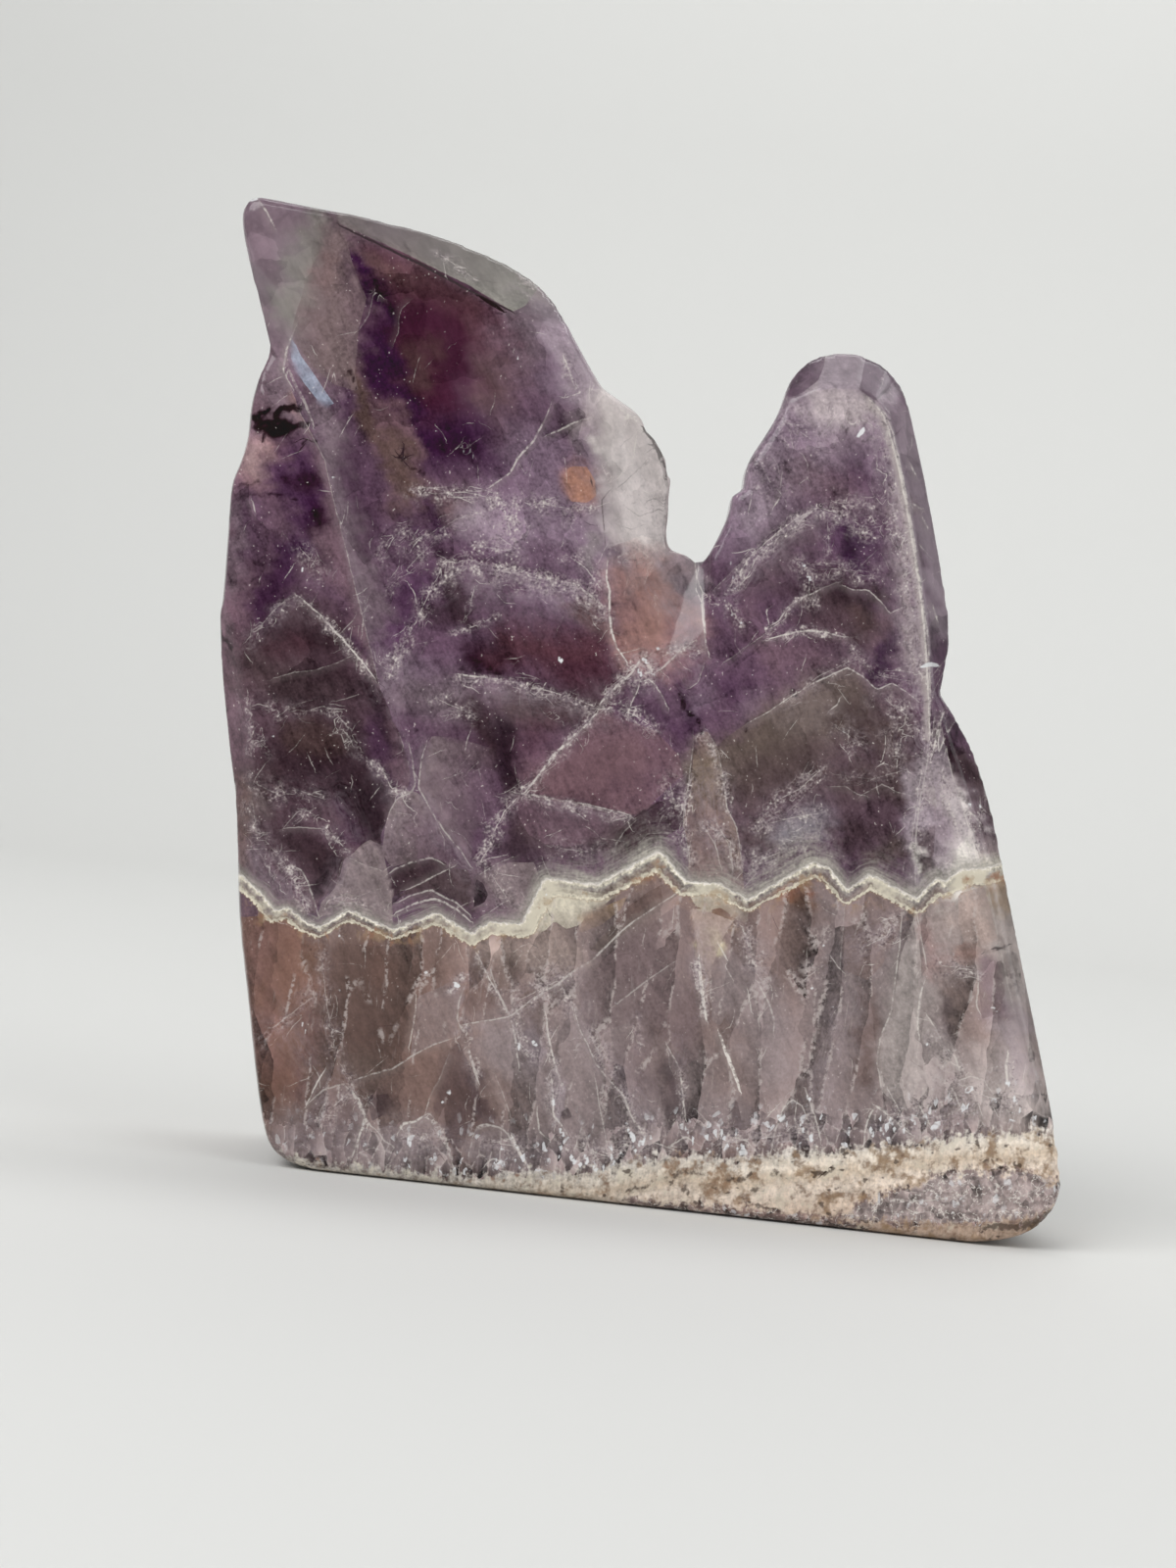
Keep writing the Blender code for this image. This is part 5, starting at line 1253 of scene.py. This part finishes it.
# %% A socket with operators
class Wire:
    """One output socket of a material's node tree."""

    def __init__(self, tree, socket=None):
        self.tree, self.socket = tree, socket

    def node(self, kind, settings=None, inputs=None, output=0):
        """Adds a node, such as a Math: its settings first, then its sockets' values or links."""
        made = self.tree.nodes.new("ShaderNode" + kind)
        for name, value in (settings or {}).items():
            if name == "stops":
                stops = made.color_ramp.elements
                while len(stops) < len(value):
                    stops.new(0.5)
                for stop, (place, colour) in zip(stops, value):
                    stop.position, stop.color = place, colour
            else:
                setattr(made, name, value)
        for name, value in (inputs or {}).items():
            if isinstance(value, Wire):
                self.tree.links.new(value.socket, made.inputs[name])
            else:
                made.inputs[name].default_value = value
        return Wire(self.tree, made.outputs[output])

    def twin(self, output):
        """Another output of the same node."""
        return Wire(self.tree, self.socket.node.outputs[output])

    def maths(self, operation, *values):
        """A Math node on numbers or wires."""
        return self.node("Math", {"operation": operation}, dict(enumerate(values)))

    def vector(self, operation, *values, output="Vector"):
        """A Vector Math node on this wire and other vectors."""
        inputs = dict(enumerate((self, *values)))
        return self.node("VectorMath", {"operation": operation}, inputs, output)

    def __add__(self, other):
        return self.maths("ADD", self, other)

    def __sub__(self, other):
        return self.maths("SUBTRACT", self, other)

    def __rsub__(self, other):
        return self.maths("SUBTRACT", other, self)

    def __mul__(self, other):
        return self.maths("MULTIPLY", self, other)

    def __truediv__(self, other):
        return self.maths("DIVIDE", self, other)

    __radd__, __rmul__ = __add__, __mul__

    def __gt__(self, limit):
        return self.maths("GREATER_THAN", self, limit)

    def __abs__(self):
        return self.maths("ABSOLUTE", self)

    def most(self, other):
        """The larger of two values."""
        return self.maths("MAXIMUM", self, other)

    def least(self, other):
        """The smaller of two values."""
        return self.maths("MINIMUM", self, other)

    def swing(self, amount):
        """A cloudy value between 0 and 1 as a push both ways around zero."""
        return (self - 0.5) * amount

    def rise(self, start, end):
        """0 at start and 1 at end, with a soft step between. The end may lie below the start."""
        falls = end < start
        return self.node("MapRange", {"interpolation_type": "SMOOTHSTEP"}, {
            "Value": self, "From Min": min(start, end), "From Max": max(start, end),
            "To Min": float(falls), "To Max": float(not falls),
        })

    def mix(self, under, over):
        """Lays one colour over another, each a name or a wire, with this wire as the share."""
        under, over = (rgba(c) if isinstance(c, str) else c for c in (under, over))
        # the node has sockets for each type of data: 6, 7 and output 2 are those of colours
        return self.node("Mix", {"data_type": "RGBA"}, {0: self, 6: under, 7: over}, 2)

    def scaled(self, factor):
        """This colour or vector times a number."""
        scale = {"Vector": self, "Scale": factor}
        return self.node("VectorMath", {"operation": "SCALE"}, scale)

    def parts(self):
        """The three numbers of a vector or a colour."""
        split = self.node("SeparateXYZ", {}, {"Vector": self})
        return [split, split.twin("Y"), split.twin("Z")]


print("a wire knows", [n for n in dir(Wire) if not n.startswith("__")])

# %% [markdown]
# ## The amethyst
# One material paints the whole stone. It lays the colour masses first, then mottling, facets,
# veils, cracks, the band and the crust. Where the crystal is clear, glass takes over from the
# painted body, and the volume behind it absorbs a little mauve.

# %% Start the material
HALF = (0.5, 0.5, 0.5)

amethyst = bpy.data.materials.new("amethyst_crystal")
amethyst.use_nodes = True
amethyst.node_tree.nodes.clear()
base = Wire(amethyst.node_tree)
place = base.node("TexCoord", output="Object")


def field(name, output="Vector"):
    """The values that were stored on the points under a name."""
    return base.node("Attribute", {"attribute_name": name}, output=output)


def joined(*numbers):
    """Three values as one vector."""
    return base.node("CombineXYZ", {}, dict(enumerate(numbers)))


def noise(size, detail=2.0, rough=0.5, stretch=(1, 1, 1), output="Fac", where=place):
    """Cloudy noise with features of about a given size in mm, stretched along an axis if asked."""
    if stretch != (1, 1, 1):
        where = where.vector("MULTIPLY", stretch)
    settings = {"Vector": where, "Scale": 1 / (size * MM), "Detail": detail, "Roughness": rough}
    return base.node("TexNoise", {}, settings, output)


def panes(grid):
    """Cells like the panes inside a crystal: a slope over each cell and its own random value."""
    cell = base.node("TexVoronoi", {}, {"Vector": grid, "Scale": 1.0})
    colour, middle = cell.twin("Color"), cell.twin("Position")
    tilt = colour.vector("SUBTRACT", HALF)
    slope = grid.vector("SUBTRACT", middle).vector("DOT_PRODUCT", tilt, output="Value")
    return slope * 3, colour.parts()[0]


def count_nodes():
    """Prints how many nodes the material has so far."""
    print("nodes so far", len(amethyst.node_tree.nodes))


count_nodes()

# %% What the points say, and clouds of several sizes
grain, mist, shadow = field("veils").parts()
filling = field("filling").parts()[0]
band, band_width, left_side = field("layers").parts()
crust, clear, base_line = field("places").parts()
haze, calm, sheet = field("extra").parts()
medium = noise(1.7, 3.0, 0.6)
fine = noise(0.5, 2.0, 0.6)
dust = noise(0.24, 0.0)
sparse = noise(3.2, 1.0)
clumps = noise(1.1, 2.0, 0.65)
streaks = noise(0.26, 1.0, 0.6, (0.1, 1, 1), where=field("flow"))
fibres = noise(0.42, 2.0, 0.7, (1, 1, 0.16))
wobble = clumps.swing(0.9)
grain = grain * (0.45 + medium.rise(0.38, 0.6) * 0.75)
x, y, z = place.parts()
sheets = noise(0.3, 2.0, 0.65, where=joined(x * 0.12, band * MM, z * 0.12))
slanted = joined(x * 0.85 + z * 0.53, y, (z * 0.85 - x * 0.53) * 0.25)
brush = noise(1.0, 4.0, 0.7, where=slanted)
lace = abs(noise(1.3, 3.0, 0.6) - 0.5).rise(0.03, 0.0)
push = noise(3.0, 2.0, 0.6, output="Color").vector("SUBTRACT", HALF)
count_nodes()

# %% Where root, foot and crust begin
root = band.rise(0.1, -0.4)
busy = 1.45 - calm * 1.15 - root * (1 - calm) * 0.6
foot = (base_line + medium.swing(6)).rise(-6.5, -0.8) * root * base_line.rise(1.0, 0.6)
ragged_crust = crust + medium.swing(2.6) + clumps.swing(2.0) + fibres.swing(1.6) + fine.swing(2.0)
crust_mask = ragged_crust.rise(-0.5, 0.5)
count_nodes()


# %% The cells: wide and narrow panes, tall ones in the root and small ones at the foot
def cells(x_count, y_count, z_count):
    """How many cells there are in a millimetre along each axis, as the value of a colour socket."""
    return (x_count / MM, y_count / MM, z_count / MM, 1)


in_root = root > 0.5
grid_size = in_root.mix(cells(0.45, 0.45, 0.45), cells(0.3, 0.3, 0.06))
grid_size = (foot > 0.5).mix(grid_size, cells(0.8, 0.8, 0.4))
grid_size = (base_line > 0.8).mix(grid_size, cells(1.1, 1.1, 1.1))
wide_size = in_root.mix(cells(0.15, 0.15, 0.15), cells(0.16, 0.16, 0.03))
far_bent = place.vector("ADD", push.scaled(2.4 * MM))
near_bent = place.vector("ADD", push.scaled(1.0 * MM))
slope_a, chance_a = panes(far_bent.vector("MULTIPLY", wide_size))
near_grid = near_bent.vector("MULTIPLY", grid_size)
slope_b, chance_b = panes(near_grid)
edge_kind = {"feature": "DISTANCE_TO_EDGE"}
pane_edge = base.node("TexVoronoi", edge_kind, {"Vector": near_grid, "Scale": 1.0})
count_nodes()

# %% Body colour, with panes of the crystal inside
in_left = (left_side + wobble * 0.3).rise(-0.02, 0.02)
body = in_left.mix(field("tone", "Color"), field("left_tone", "Color"))
speckled = (fine.swing(0.6) + dust.swing(0.3) + brush.swing(0.8)) * busy
shade = 1.0 + slope_a * 0.2 + chance_a.swing(0.2) + slope_b * (0.1 + root * 0.28)
shade = shade + chance_b.swing(0.12 + root * 0.24) + medium.swing(0.15 + busy * 0.3)
body = body.scaled(shade + brush.swing(0.3) + speckled)
count_nodes()

# %% Facets, with clean edges in some places and soft ones in others
cleanly = (sparse.rise(0.4, 0.5) + clear.rise(0.05, 0.2)).least(1.0)
facet_shade = 1.0 + slope_b * 0.1 + medium.swing(0.5 - clear * 1.2) + brush.swing(0.3) + speckled
for k in (0, 1):
    edge = field(f"edges_{k}").parts()[0] + wobble * 0.2
    amount = field(f"facet_{k}", "Alpha") * (1.0 + medium.swing(1.0 - clear * 3.0))
    reach = cleanly * edge.rise(-0.03, 0.03) + (1 - cleanly) * edge.rise(-0.5, 0.8)
    facet = field(f"facet_{k}", "Color").scaled(facet_shade)
    body = (amount * reach).mix(body, facet)
count_nodes()

# %% The columns of the root and the small crystals at its foot
walls = pane_edge.rise(0.06, 0.015) * sparse.rise(0.46, 0.58) * fine.rise(0.4, 0.58)
body = (root * walls * 0.6).mix(body, "pale quartz")
body = (root * slope_b.rise(0.35, 0.9) * 0.15).mix(body, "stone grey")
body = (root * fibres.rise(0.6, 0.74) * sparse.rise(0.4, 0.6) * 0.15).mix(body, "pale quartz")
body = (root * fibres.rise(0.42, 0.28) * sparse.rise(0.6, 0.4) * 0.15).mix(body, "smoke")
lively = x.rise(-0.034, -0.01) * 0.6 + 0.4
foot_share = foot * lively
foot_shade = 0.91 + slope_b * 0.4 + chance_b.swing(0.5) + fibres.swing(1.1)
body = foot_share.mix(body, body.scaled(foot_shade))
inner = base_line.rise(0.5, 0.9)
inner_shade = 0.98 + slope_b * 0.3 + chance_b.swing(0.35) + medium.swing(2.0) + clumps.swing(1.7)
body = (inner * 0.9).mix(body, body.scaled(inner_shade))
body = (inner * lace * fine.rise(0.4, 0.55) * 0.85).mix(body, "milk")
rims = (foot_share + inner * 0.4) * pane_edge.rise(0.09, 0.02) * fine.rise(0.42, 0.55)
body = (rims * 0.45).mix(body, "pale quartz")
lit_cells = foot_share * chance_b.rise(0.78, 0.88) * (0.2 + slope_b * 0.5)
body = lit_cells.mix(body, "pale quartz")
count_nodes()

# %% Shadows, mist and cracks
ink = shadow * 1.25 + clumps.swing(1.2) + fine.swing(1.4) + fibres.swing(0.3)
body = (ink.rise(0.35, 0.85) * shadow.rise(0.05, 0.9) * 0.95).mix(body, "ink")
# mist also carries the painted sheen along the right ridge of the short point
misty = mist * (0.35 + streaks.swing(1.6) + clumps.swing(1.2) + fine.swing(0.6))
body = misty.mix(body, "pale lilac")
unbroken = (fine * 0.6 + sparse * 0.4).rise(0.42, 0.55) * 0.75 + 0.15
# the crack sets also carry the painted highlights on the short point's ridge and flank, glow
# included
for k in (0, 1, 2):
    half, bright, strength = field(f"crack_{k}").parts()
    _, signed, far = field(f"edges_{k}").parts()
    across = signed + wobble * 0.25
    whole = unbroken + strength.rise(0.9, 1.4) * 0.6
    line = (abs(across) - half).rise(0.05, -0.05) * (far - half).rise(0.5, 0.25) * strength
    tint = bright.mix("black plum", "milk")
    if k < 2:
        glow = across.rise(1.1, 0.0) * across.rise(-0.1, 0.0) * far.rise(1.2, 0.3) * strength
        glow = glow * bright * (0.16 + strength.rise(1.0, 1.15) * 0.4)
        body = glow.mix(body, "pale quartz")
    body = (line * whole).mix(body, tint)
    if k == 0:
        slits = line * whole * (1 - bright)
count_nodes()

# %% Frosty veils: a sheet of haze that fades to one side, streaks, bright flecks and dark gaps
open_haze = sheet.rise(0.0, 1.0) * (0.5 + clumps.swing(1.2) + streaks.swing(0.5))
body = (open_haze * 0.5).mix(body, "pale lilac")
body = body.scaled(1.0 - sheet.rise(0.0, -1.0) * 0.45)
cloudy = grain * (0.24 + streaks.swing(1.0) + clumps.swing(1.1) + brush.swing(0.5))
body = cloudy.mix(body, "pale lilac")
crumb = fine * 0.45 + dust * 0.55
gaps = (crumb - clumps * 0.3 + 0.15).rise(0.42, 0.34) * grain.rise(0.08, 0.5)
body = (gaps * 0.35).mix(body, "night smoke")
flecks = (crumb + grain * 0.1 + clumps.swing(0.45)).rise(0.52, 0.72) * grain.rise(0.1, 0.6) * 0.4
flecks = flecks.most(streaks.rise(0.63, 0.69) * grain.rise(0.2, 0.7) * 0.3)
flecks = flecks.most(lace * grain.rise(0.1, 0.5) * clumps.rise(0.4, 0.55) * 0.35)
body = (flecks * 1.05).mix(body, "pale quartz")
sparks = (crumb + grain * 0.1 + clumps.swing(0.5)).rise(0.7, 0.76) * grain.rise(0.1, 0.5)
body = (sparks * 0.4).mix(body, "milk")
# tiny white specks all over the stone: painted glints of light
speck_glints = (fine * 0.35 + dust * 0.65).rise(0.7, 0.74) * sparse.rise(0.44, 0.56) * busy
body = (speck_glints * 0.34).mix(body, "milk")
count_nodes()

# %% The band: its haze, then its layers, from below the middle line to above it
BAND_BELOW, BAND_ABOVE = -2.0, 3.0  # where the ramp starts and ends, in half widths
BAND_LAYERS = (
    # place along the ramp, colour, cover
    (0.0, "sand", 0.0), (0.17, "sand", 0.0), (0.2, "sand", 0.35), (0.22, "cream", 0.95),
    (0.27, "cream", 0.95), (0.3, "olive smoke", 0.55), (0.42, "fog", 0.55), (0.46, "cream", 1.0),
    (0.51, "milk", 1.0), (0.55, "fog", 0.8), (0.66, "fog", 0.4), (0.8, "fog", 0.0),
)

fringe = 0.75 + sheets.swing(1.6) + clumps.swing(1.2) + fibres.swing(0.8) + crumb.swing(0.8)
fringe = haze * fringe
body = (fringe.rise(0.0, 1.0) * 0.85).mix(body, "fog")
body = (fringe.rise(0.5, 1.2) * 0.55).mix(body, "cream")
level = (band + wobble * 0.4 + fine.swing(0.55) + crumb.swing(0.45)) / band_width
ramp_place = base.node("MapRange", {}, {
    "Value": level, "From Min": BAND_BELOW, "From Max": BAND_ABOVE, "To Min": 0.0, "To Max": 1.0,
})
stops = [(stop, rgba(name, share)) for stop, name, share in BAND_LAYERS]
layers = base.node("ValToRGB", {"stops": stops}, {"Fac": ramp_place})
layer_share = layers.twin("Alpha")
layer_shade = 0.97 + sheets.swing(1.1) + fine.swing(0.9) + dust.swing(0.6)
body = (layer_share * (0.75 + clumps.rise(0.36, 0.5) * 0.25)).mix(body, layers.scaled(layer_shade))
count_nodes()

# %% What lies in and around the band: fillings, growth above it and stains below
filled = (filling * 1.3 + clumps.swing(1.2) - 0.1).rise(0.1, 0.8)
gap = level.rise(-0.9, -0.6) * level.rise(0.6, 0.3) * filled
body = (gap * 0.9).mix(body, "cream")
growth = sheets.rise(0.56, 0.64) * band.rise(3.2, 0.8) * band.rise(0.2, 0.6)
body = (growth * sparse.rise(0.42, 0.56) * 0.45).mix(body, "fog")
stain = (medium * 0.6 + sparse * 0.4).rise(0.53, 0.6) * band.rise(-2.4, -0.6) * band.rise(0.3, -0.4)
body = (stain * 0.5).mix(body, "sand")
body = (stain * clumps.rise(0.5, 0.62) * 0.6).mix(body, "rust")
count_nodes()

# %% The crust: earth colours down its height, in linear values, with painted light and shade of its lumps
CRUST_HEIGHT = 8.0  # in mm, the length of the ramp
EARTH = (
    (0.0, (0.5, 0.46, 0.42, 1)), (0.12, (0.56, 0.5, 0.43, 1)), (0.3, (0.44, 0.36, 0.28, 1)),
    (0.46, (0.53, 0.45, 0.38, 1)), (0.7, (0.45, 0.36, 0.29, 1)), (1.0, (0.3, 0.22, 0.17, 1)),
)

crumbs = noise(1.5, 3.0, 0.75)
down = (base_line + clumps.swing(2.5)) / CRUST_HEIGHT
earth = base.node("ValToRGB", {"stops": EARTH}, {"Fac": down})
east = x.rise(-0.02, 0.03)
# the crumbs and fine noise here also raise the crust's bump, so this paints light and shade on its
# lumps
lump_shading = fibres.swing(0.9) + crumbs.swing(1.3) + fine.swing(0.9) + dust.swing(0.4)
earth = earth.scaled(0.87 + east * 0.53 + lump_shading)
count_nodes()

# %% Patches and stains of the crust, and painted shade in its pits and holes
HOLE_SHADE_BROWN = (0.05, 0.033, 0.025, 1)

patches = noise(2.6, 3.0, 0.65)
# stains of the crust, which also follow the crumbs of its bump: darker tan and amber in its hollows
# and cream on its lumps, as painted shade and light
earth = (patches.rise(0.5, 0.6) * crumbs.rise(0.62, 0.42) * 0.75).mix(earth, "tan")
earth = (patches.rise(0.46, 0.36) * crumbs.rise(0.4, 0.52) * 0.5).mix(earth, "cream")
earth = (crumbs.rise(0.44, 0.32) * 0.5).mix(earth, "amber")
rusty = patches.rise(0.52, 0.62) * clumps.rise(0.44, 0.58) * (1 - east)
earth = (rusty * 0.6).mix(earth, "rust")
sandy = patches.rise(0.5, 0.62) * clumps.rise(0.4, 0.56) * east
earth = (sandy * 0.45).mix(earth, "sand")
# painted shade in the pits and holes of the crust, and the dark cracks that run into it
pit_shade_and_cracks = noise(1.6, 2.0, 0.6, (1.0, 1.0, 1.5)).rise(0.36, 0.3)
pit_shade_and_cracks = pit_shade_and_cracks.most((shadow + fine.swing(0.8)).rise(0.25, 0.5))
pit_shade_and_cracks = (pit_shade_and_cracks * 0.8).most(slits.rise(0.3, 0.6))
earth = pit_shade_and_cracks.mix(earth, HOLE_SHADE_BROWN)
body = (crust_mask * 0.95).mix(body, earth)
count_nodes()

# %% Deeper darks and paler lights, because the polish lays an even shine over everything
SHINE = (0.014, 0.014, 0.014)
CONTRAST = 1.14
DARKEST = (0.002, 0.002, 0.002)

body = body.vector("SUBTRACT", SHINE).scaled(CONTRAST).vector("MAXIMUM", DARKEST)

# %% Glints, painted highlights: the drawn ones, and tiny sparkles of light on the crystals at the foot
SPARKLE_SIZE = 0.42 * MM
SPARKLE_WHITE = (0.82, 0.82, 0.84, 1)
GLINT_WHITE = (0.85, 0.85, 0.86, 1)

glint_far, glint_half, glint_strength = field("glints").parts()
glint = (glint_far - glint_half + wobble * 0.3).rise(0.06, -0.06) * glint_strength
sparkle_grid = near_bent.vector("MULTIPLY", (1, 1, 0.6))
sparkle_cells = base.node("TexVoronoi", {}, {"Vector": sparkle_grid, "Scale": 1 / SPARKLE_SIZE})
painted_sparkle = sparkle_cells.twin("Color").parts()[0].rise(0.88, 0.9) * (foot_share + inner * 0.6)
painted_sparkle = painted_sparkle * (1 - crust_mask) * medium.rise(0.44, 0.56)
body = (painted_sparkle * 0.85).mix(body, SPARKLE_WHITE)
body = (glint * 0.9).mix(body, GLINT_WHITE)
count_nodes()

# %% Surface
QUARTZ_IOR = 1.544

bump_height = medium * 0.3 + fine * 0.1 + crust_mask * (crumbs + fine * 0.6) * 1.6
bump_inputs = {"Strength": 0.22, "Distance": 0.1 * MM, "Height": bump_height}
bump = base.node("Bump", {}, bump_inputs)
rough = 0.1 + grain * 0.08 + crust_mask * 0.35 + layer_share * 0.08
opaque_part = base.node("BsdfPrincipled", {}, {
    "Base Color": body, "Roughness": rough, "IOR": QUARTZ_IOR, "Specular IOR Level": 0.28,
    "Normal": bump,
})
glass_part = base.node("BsdfPrincipled", {}, {
    "Base Color": (1, 1, 1, 1), "Roughness": 0.3, "IOR": QUARTZ_IOR, "Transmission Weight": 1.0,
    "Normal": bump,
})
glassy = clear * (1 - flecks) * (1 - crust_mask) * (0.85 + sparse * 0.3)
surface = base.node("MixShader", {}, {0: glassy, 1: opaque_part, 2: glass_part})
mauve_glass = {"Color": (0.66, 0.56, 0.68, 1), "Density": 14.0}
absorb = base.node("VolumeAbsorption", {}, mauve_glass)
output = base.tree.nodes.new("ShaderNodeOutputMaterial")
base.tree.links.new(surface.socket, output.inputs["Surface"])
base.tree.links.new(absorb.socket, output.inputs["Volume"])
stone.data.materials.clear()
stone.data.materials.append(amethyst)
print("nodes in all", len(amethyst.node_tree.nodes))

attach(stone, "root")
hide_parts("amethyst")

# A photographer bends a sheet of pale paper up behind a small thing, so that no corner shows. Here
# one edge is extruded along the floor and up a quarter circle. A window at the upper left lights
# the stone, a weaker light fills the shadows and a third keeps the paper pale.

# %% Floor and backdrop, in metres
FLOOR_NEAR = -0.7
FLOOR_FAR = 0.55
FLOOR_SIDE = 1.6
BACKDROP_RADIUS = 0.35
BACKDROP_TOP = 1.6
BEND_STEPS = 24

bm = bmesh.new()
front_edge = [bm.verts.new((side, FLOOR_NEAR, 0)) for side in (-FLOOR_SIDE, FLOOR_SIDE)]
line = [bm.edges.new(front_edge)]
profile = [(FLOOR_FAR, 0.0)]
for k in range(1, BEND_STEPS + 1):
    turned = math.radians(90 * k / BEND_STEPS)
    lift = BACKDROP_RADIUS * (1 - math.cos(turned))
    profile.append((FLOOR_FAR + BACKDROP_RADIUS * math.sin(turned), lift))
profile.append((FLOOR_FAR + BACKDROP_RADIUS, BACKDROP_TOP))
for back, up in profile:
    made = bmesh.ops.extrude_edge_only(bm, edges=line)["geom"]
    for vertex in (v for v in made if isinstance(v, bmesh.types.BMVert)):
        vertex.co.y, vertex.co.z = back, up
    line = [e for e in made if isinstance(e, bmesh.types.BMEdge)]
bmesh.ops.recalc_face_normals(bm, faces=bm.faces)
floor_mesh = bpy.data.meshes.new("floor")
bm.to_mesh(floor_mesh)
bm.free()
for polygon in floor_mesh.polygons:
    polygon.use_smooth = True
floor = bpy.data.objects.new("floor", floor_mesh)
bpy.context.scene.collection.objects.link(floor)
floor_material = bpy.data.materials.new("pale_paper")
floor_material.use_nodes = True
paper = floor_material.node_tree.nodes["Principled BSDF"].inputs
paper["Base Color"].default_value = (0.74, 0.74, 0.72, 1)
paper["Roughness"].default_value = 0.9
floor_mesh.materials.append(floor_material)
print("floor faces", len(floor_mesh.polygons))


# %% Lights: place and size in metres, power in watts
def area_light(name, place, size, power, aim=(0, 0, 0.05)):
    """A soft rectangular light that faces the middle of the stone, or what it is aimed at."""
    data = bpy.data.lights.new(name, "AREA")
    data.shape = "RECTANGLE"
    data.size, data.size_y = size
    data.energy = power
    light = bpy.data.objects.new(name, data)
    bpy.context.scene.collection.objects.link(light)
    light.location = place
    light.rotation_euler = (Vector(aim) - Vector(place)).to_track_quat("-Z", "Y").to_euler()


area_light("window", (-0.45, -0.5, 0.65), (0.6, 0.6), 5.2)
area_light("fill", (0.7, -0.4, 0.35), (0.6, 0.8), 2.2)
area_light("backdrop", (0.3, 0.25, 1.1), (1.2, 0.4), 6.3, aim=(0.35, 0.9, 0.35))
world = bpy.data.worlds.new("world")
world.use_nodes = True
sky = world.node_tree.nodes["Background"].inputs
sky["Color"].default_value = (0.9, 0.92, 0.94, 1)
sky["Strength"].default_value = 0.32

# %% How light is traced and shown
scene = bpy.context.scene
scene.world = world
scene.view_settings.view_transform = "Standard"
scene.cycles.use_denoising = True
scene.cycles.max_bounces = 8
scene.cycles.diffuse_bounces = 2
scene.cycles.glossy_bounces = 3
scene.cycles.transmission_bounces = 6
print("light bounces", scene.cycles.max_bounces)

# %% [markdown]
# ## Finish
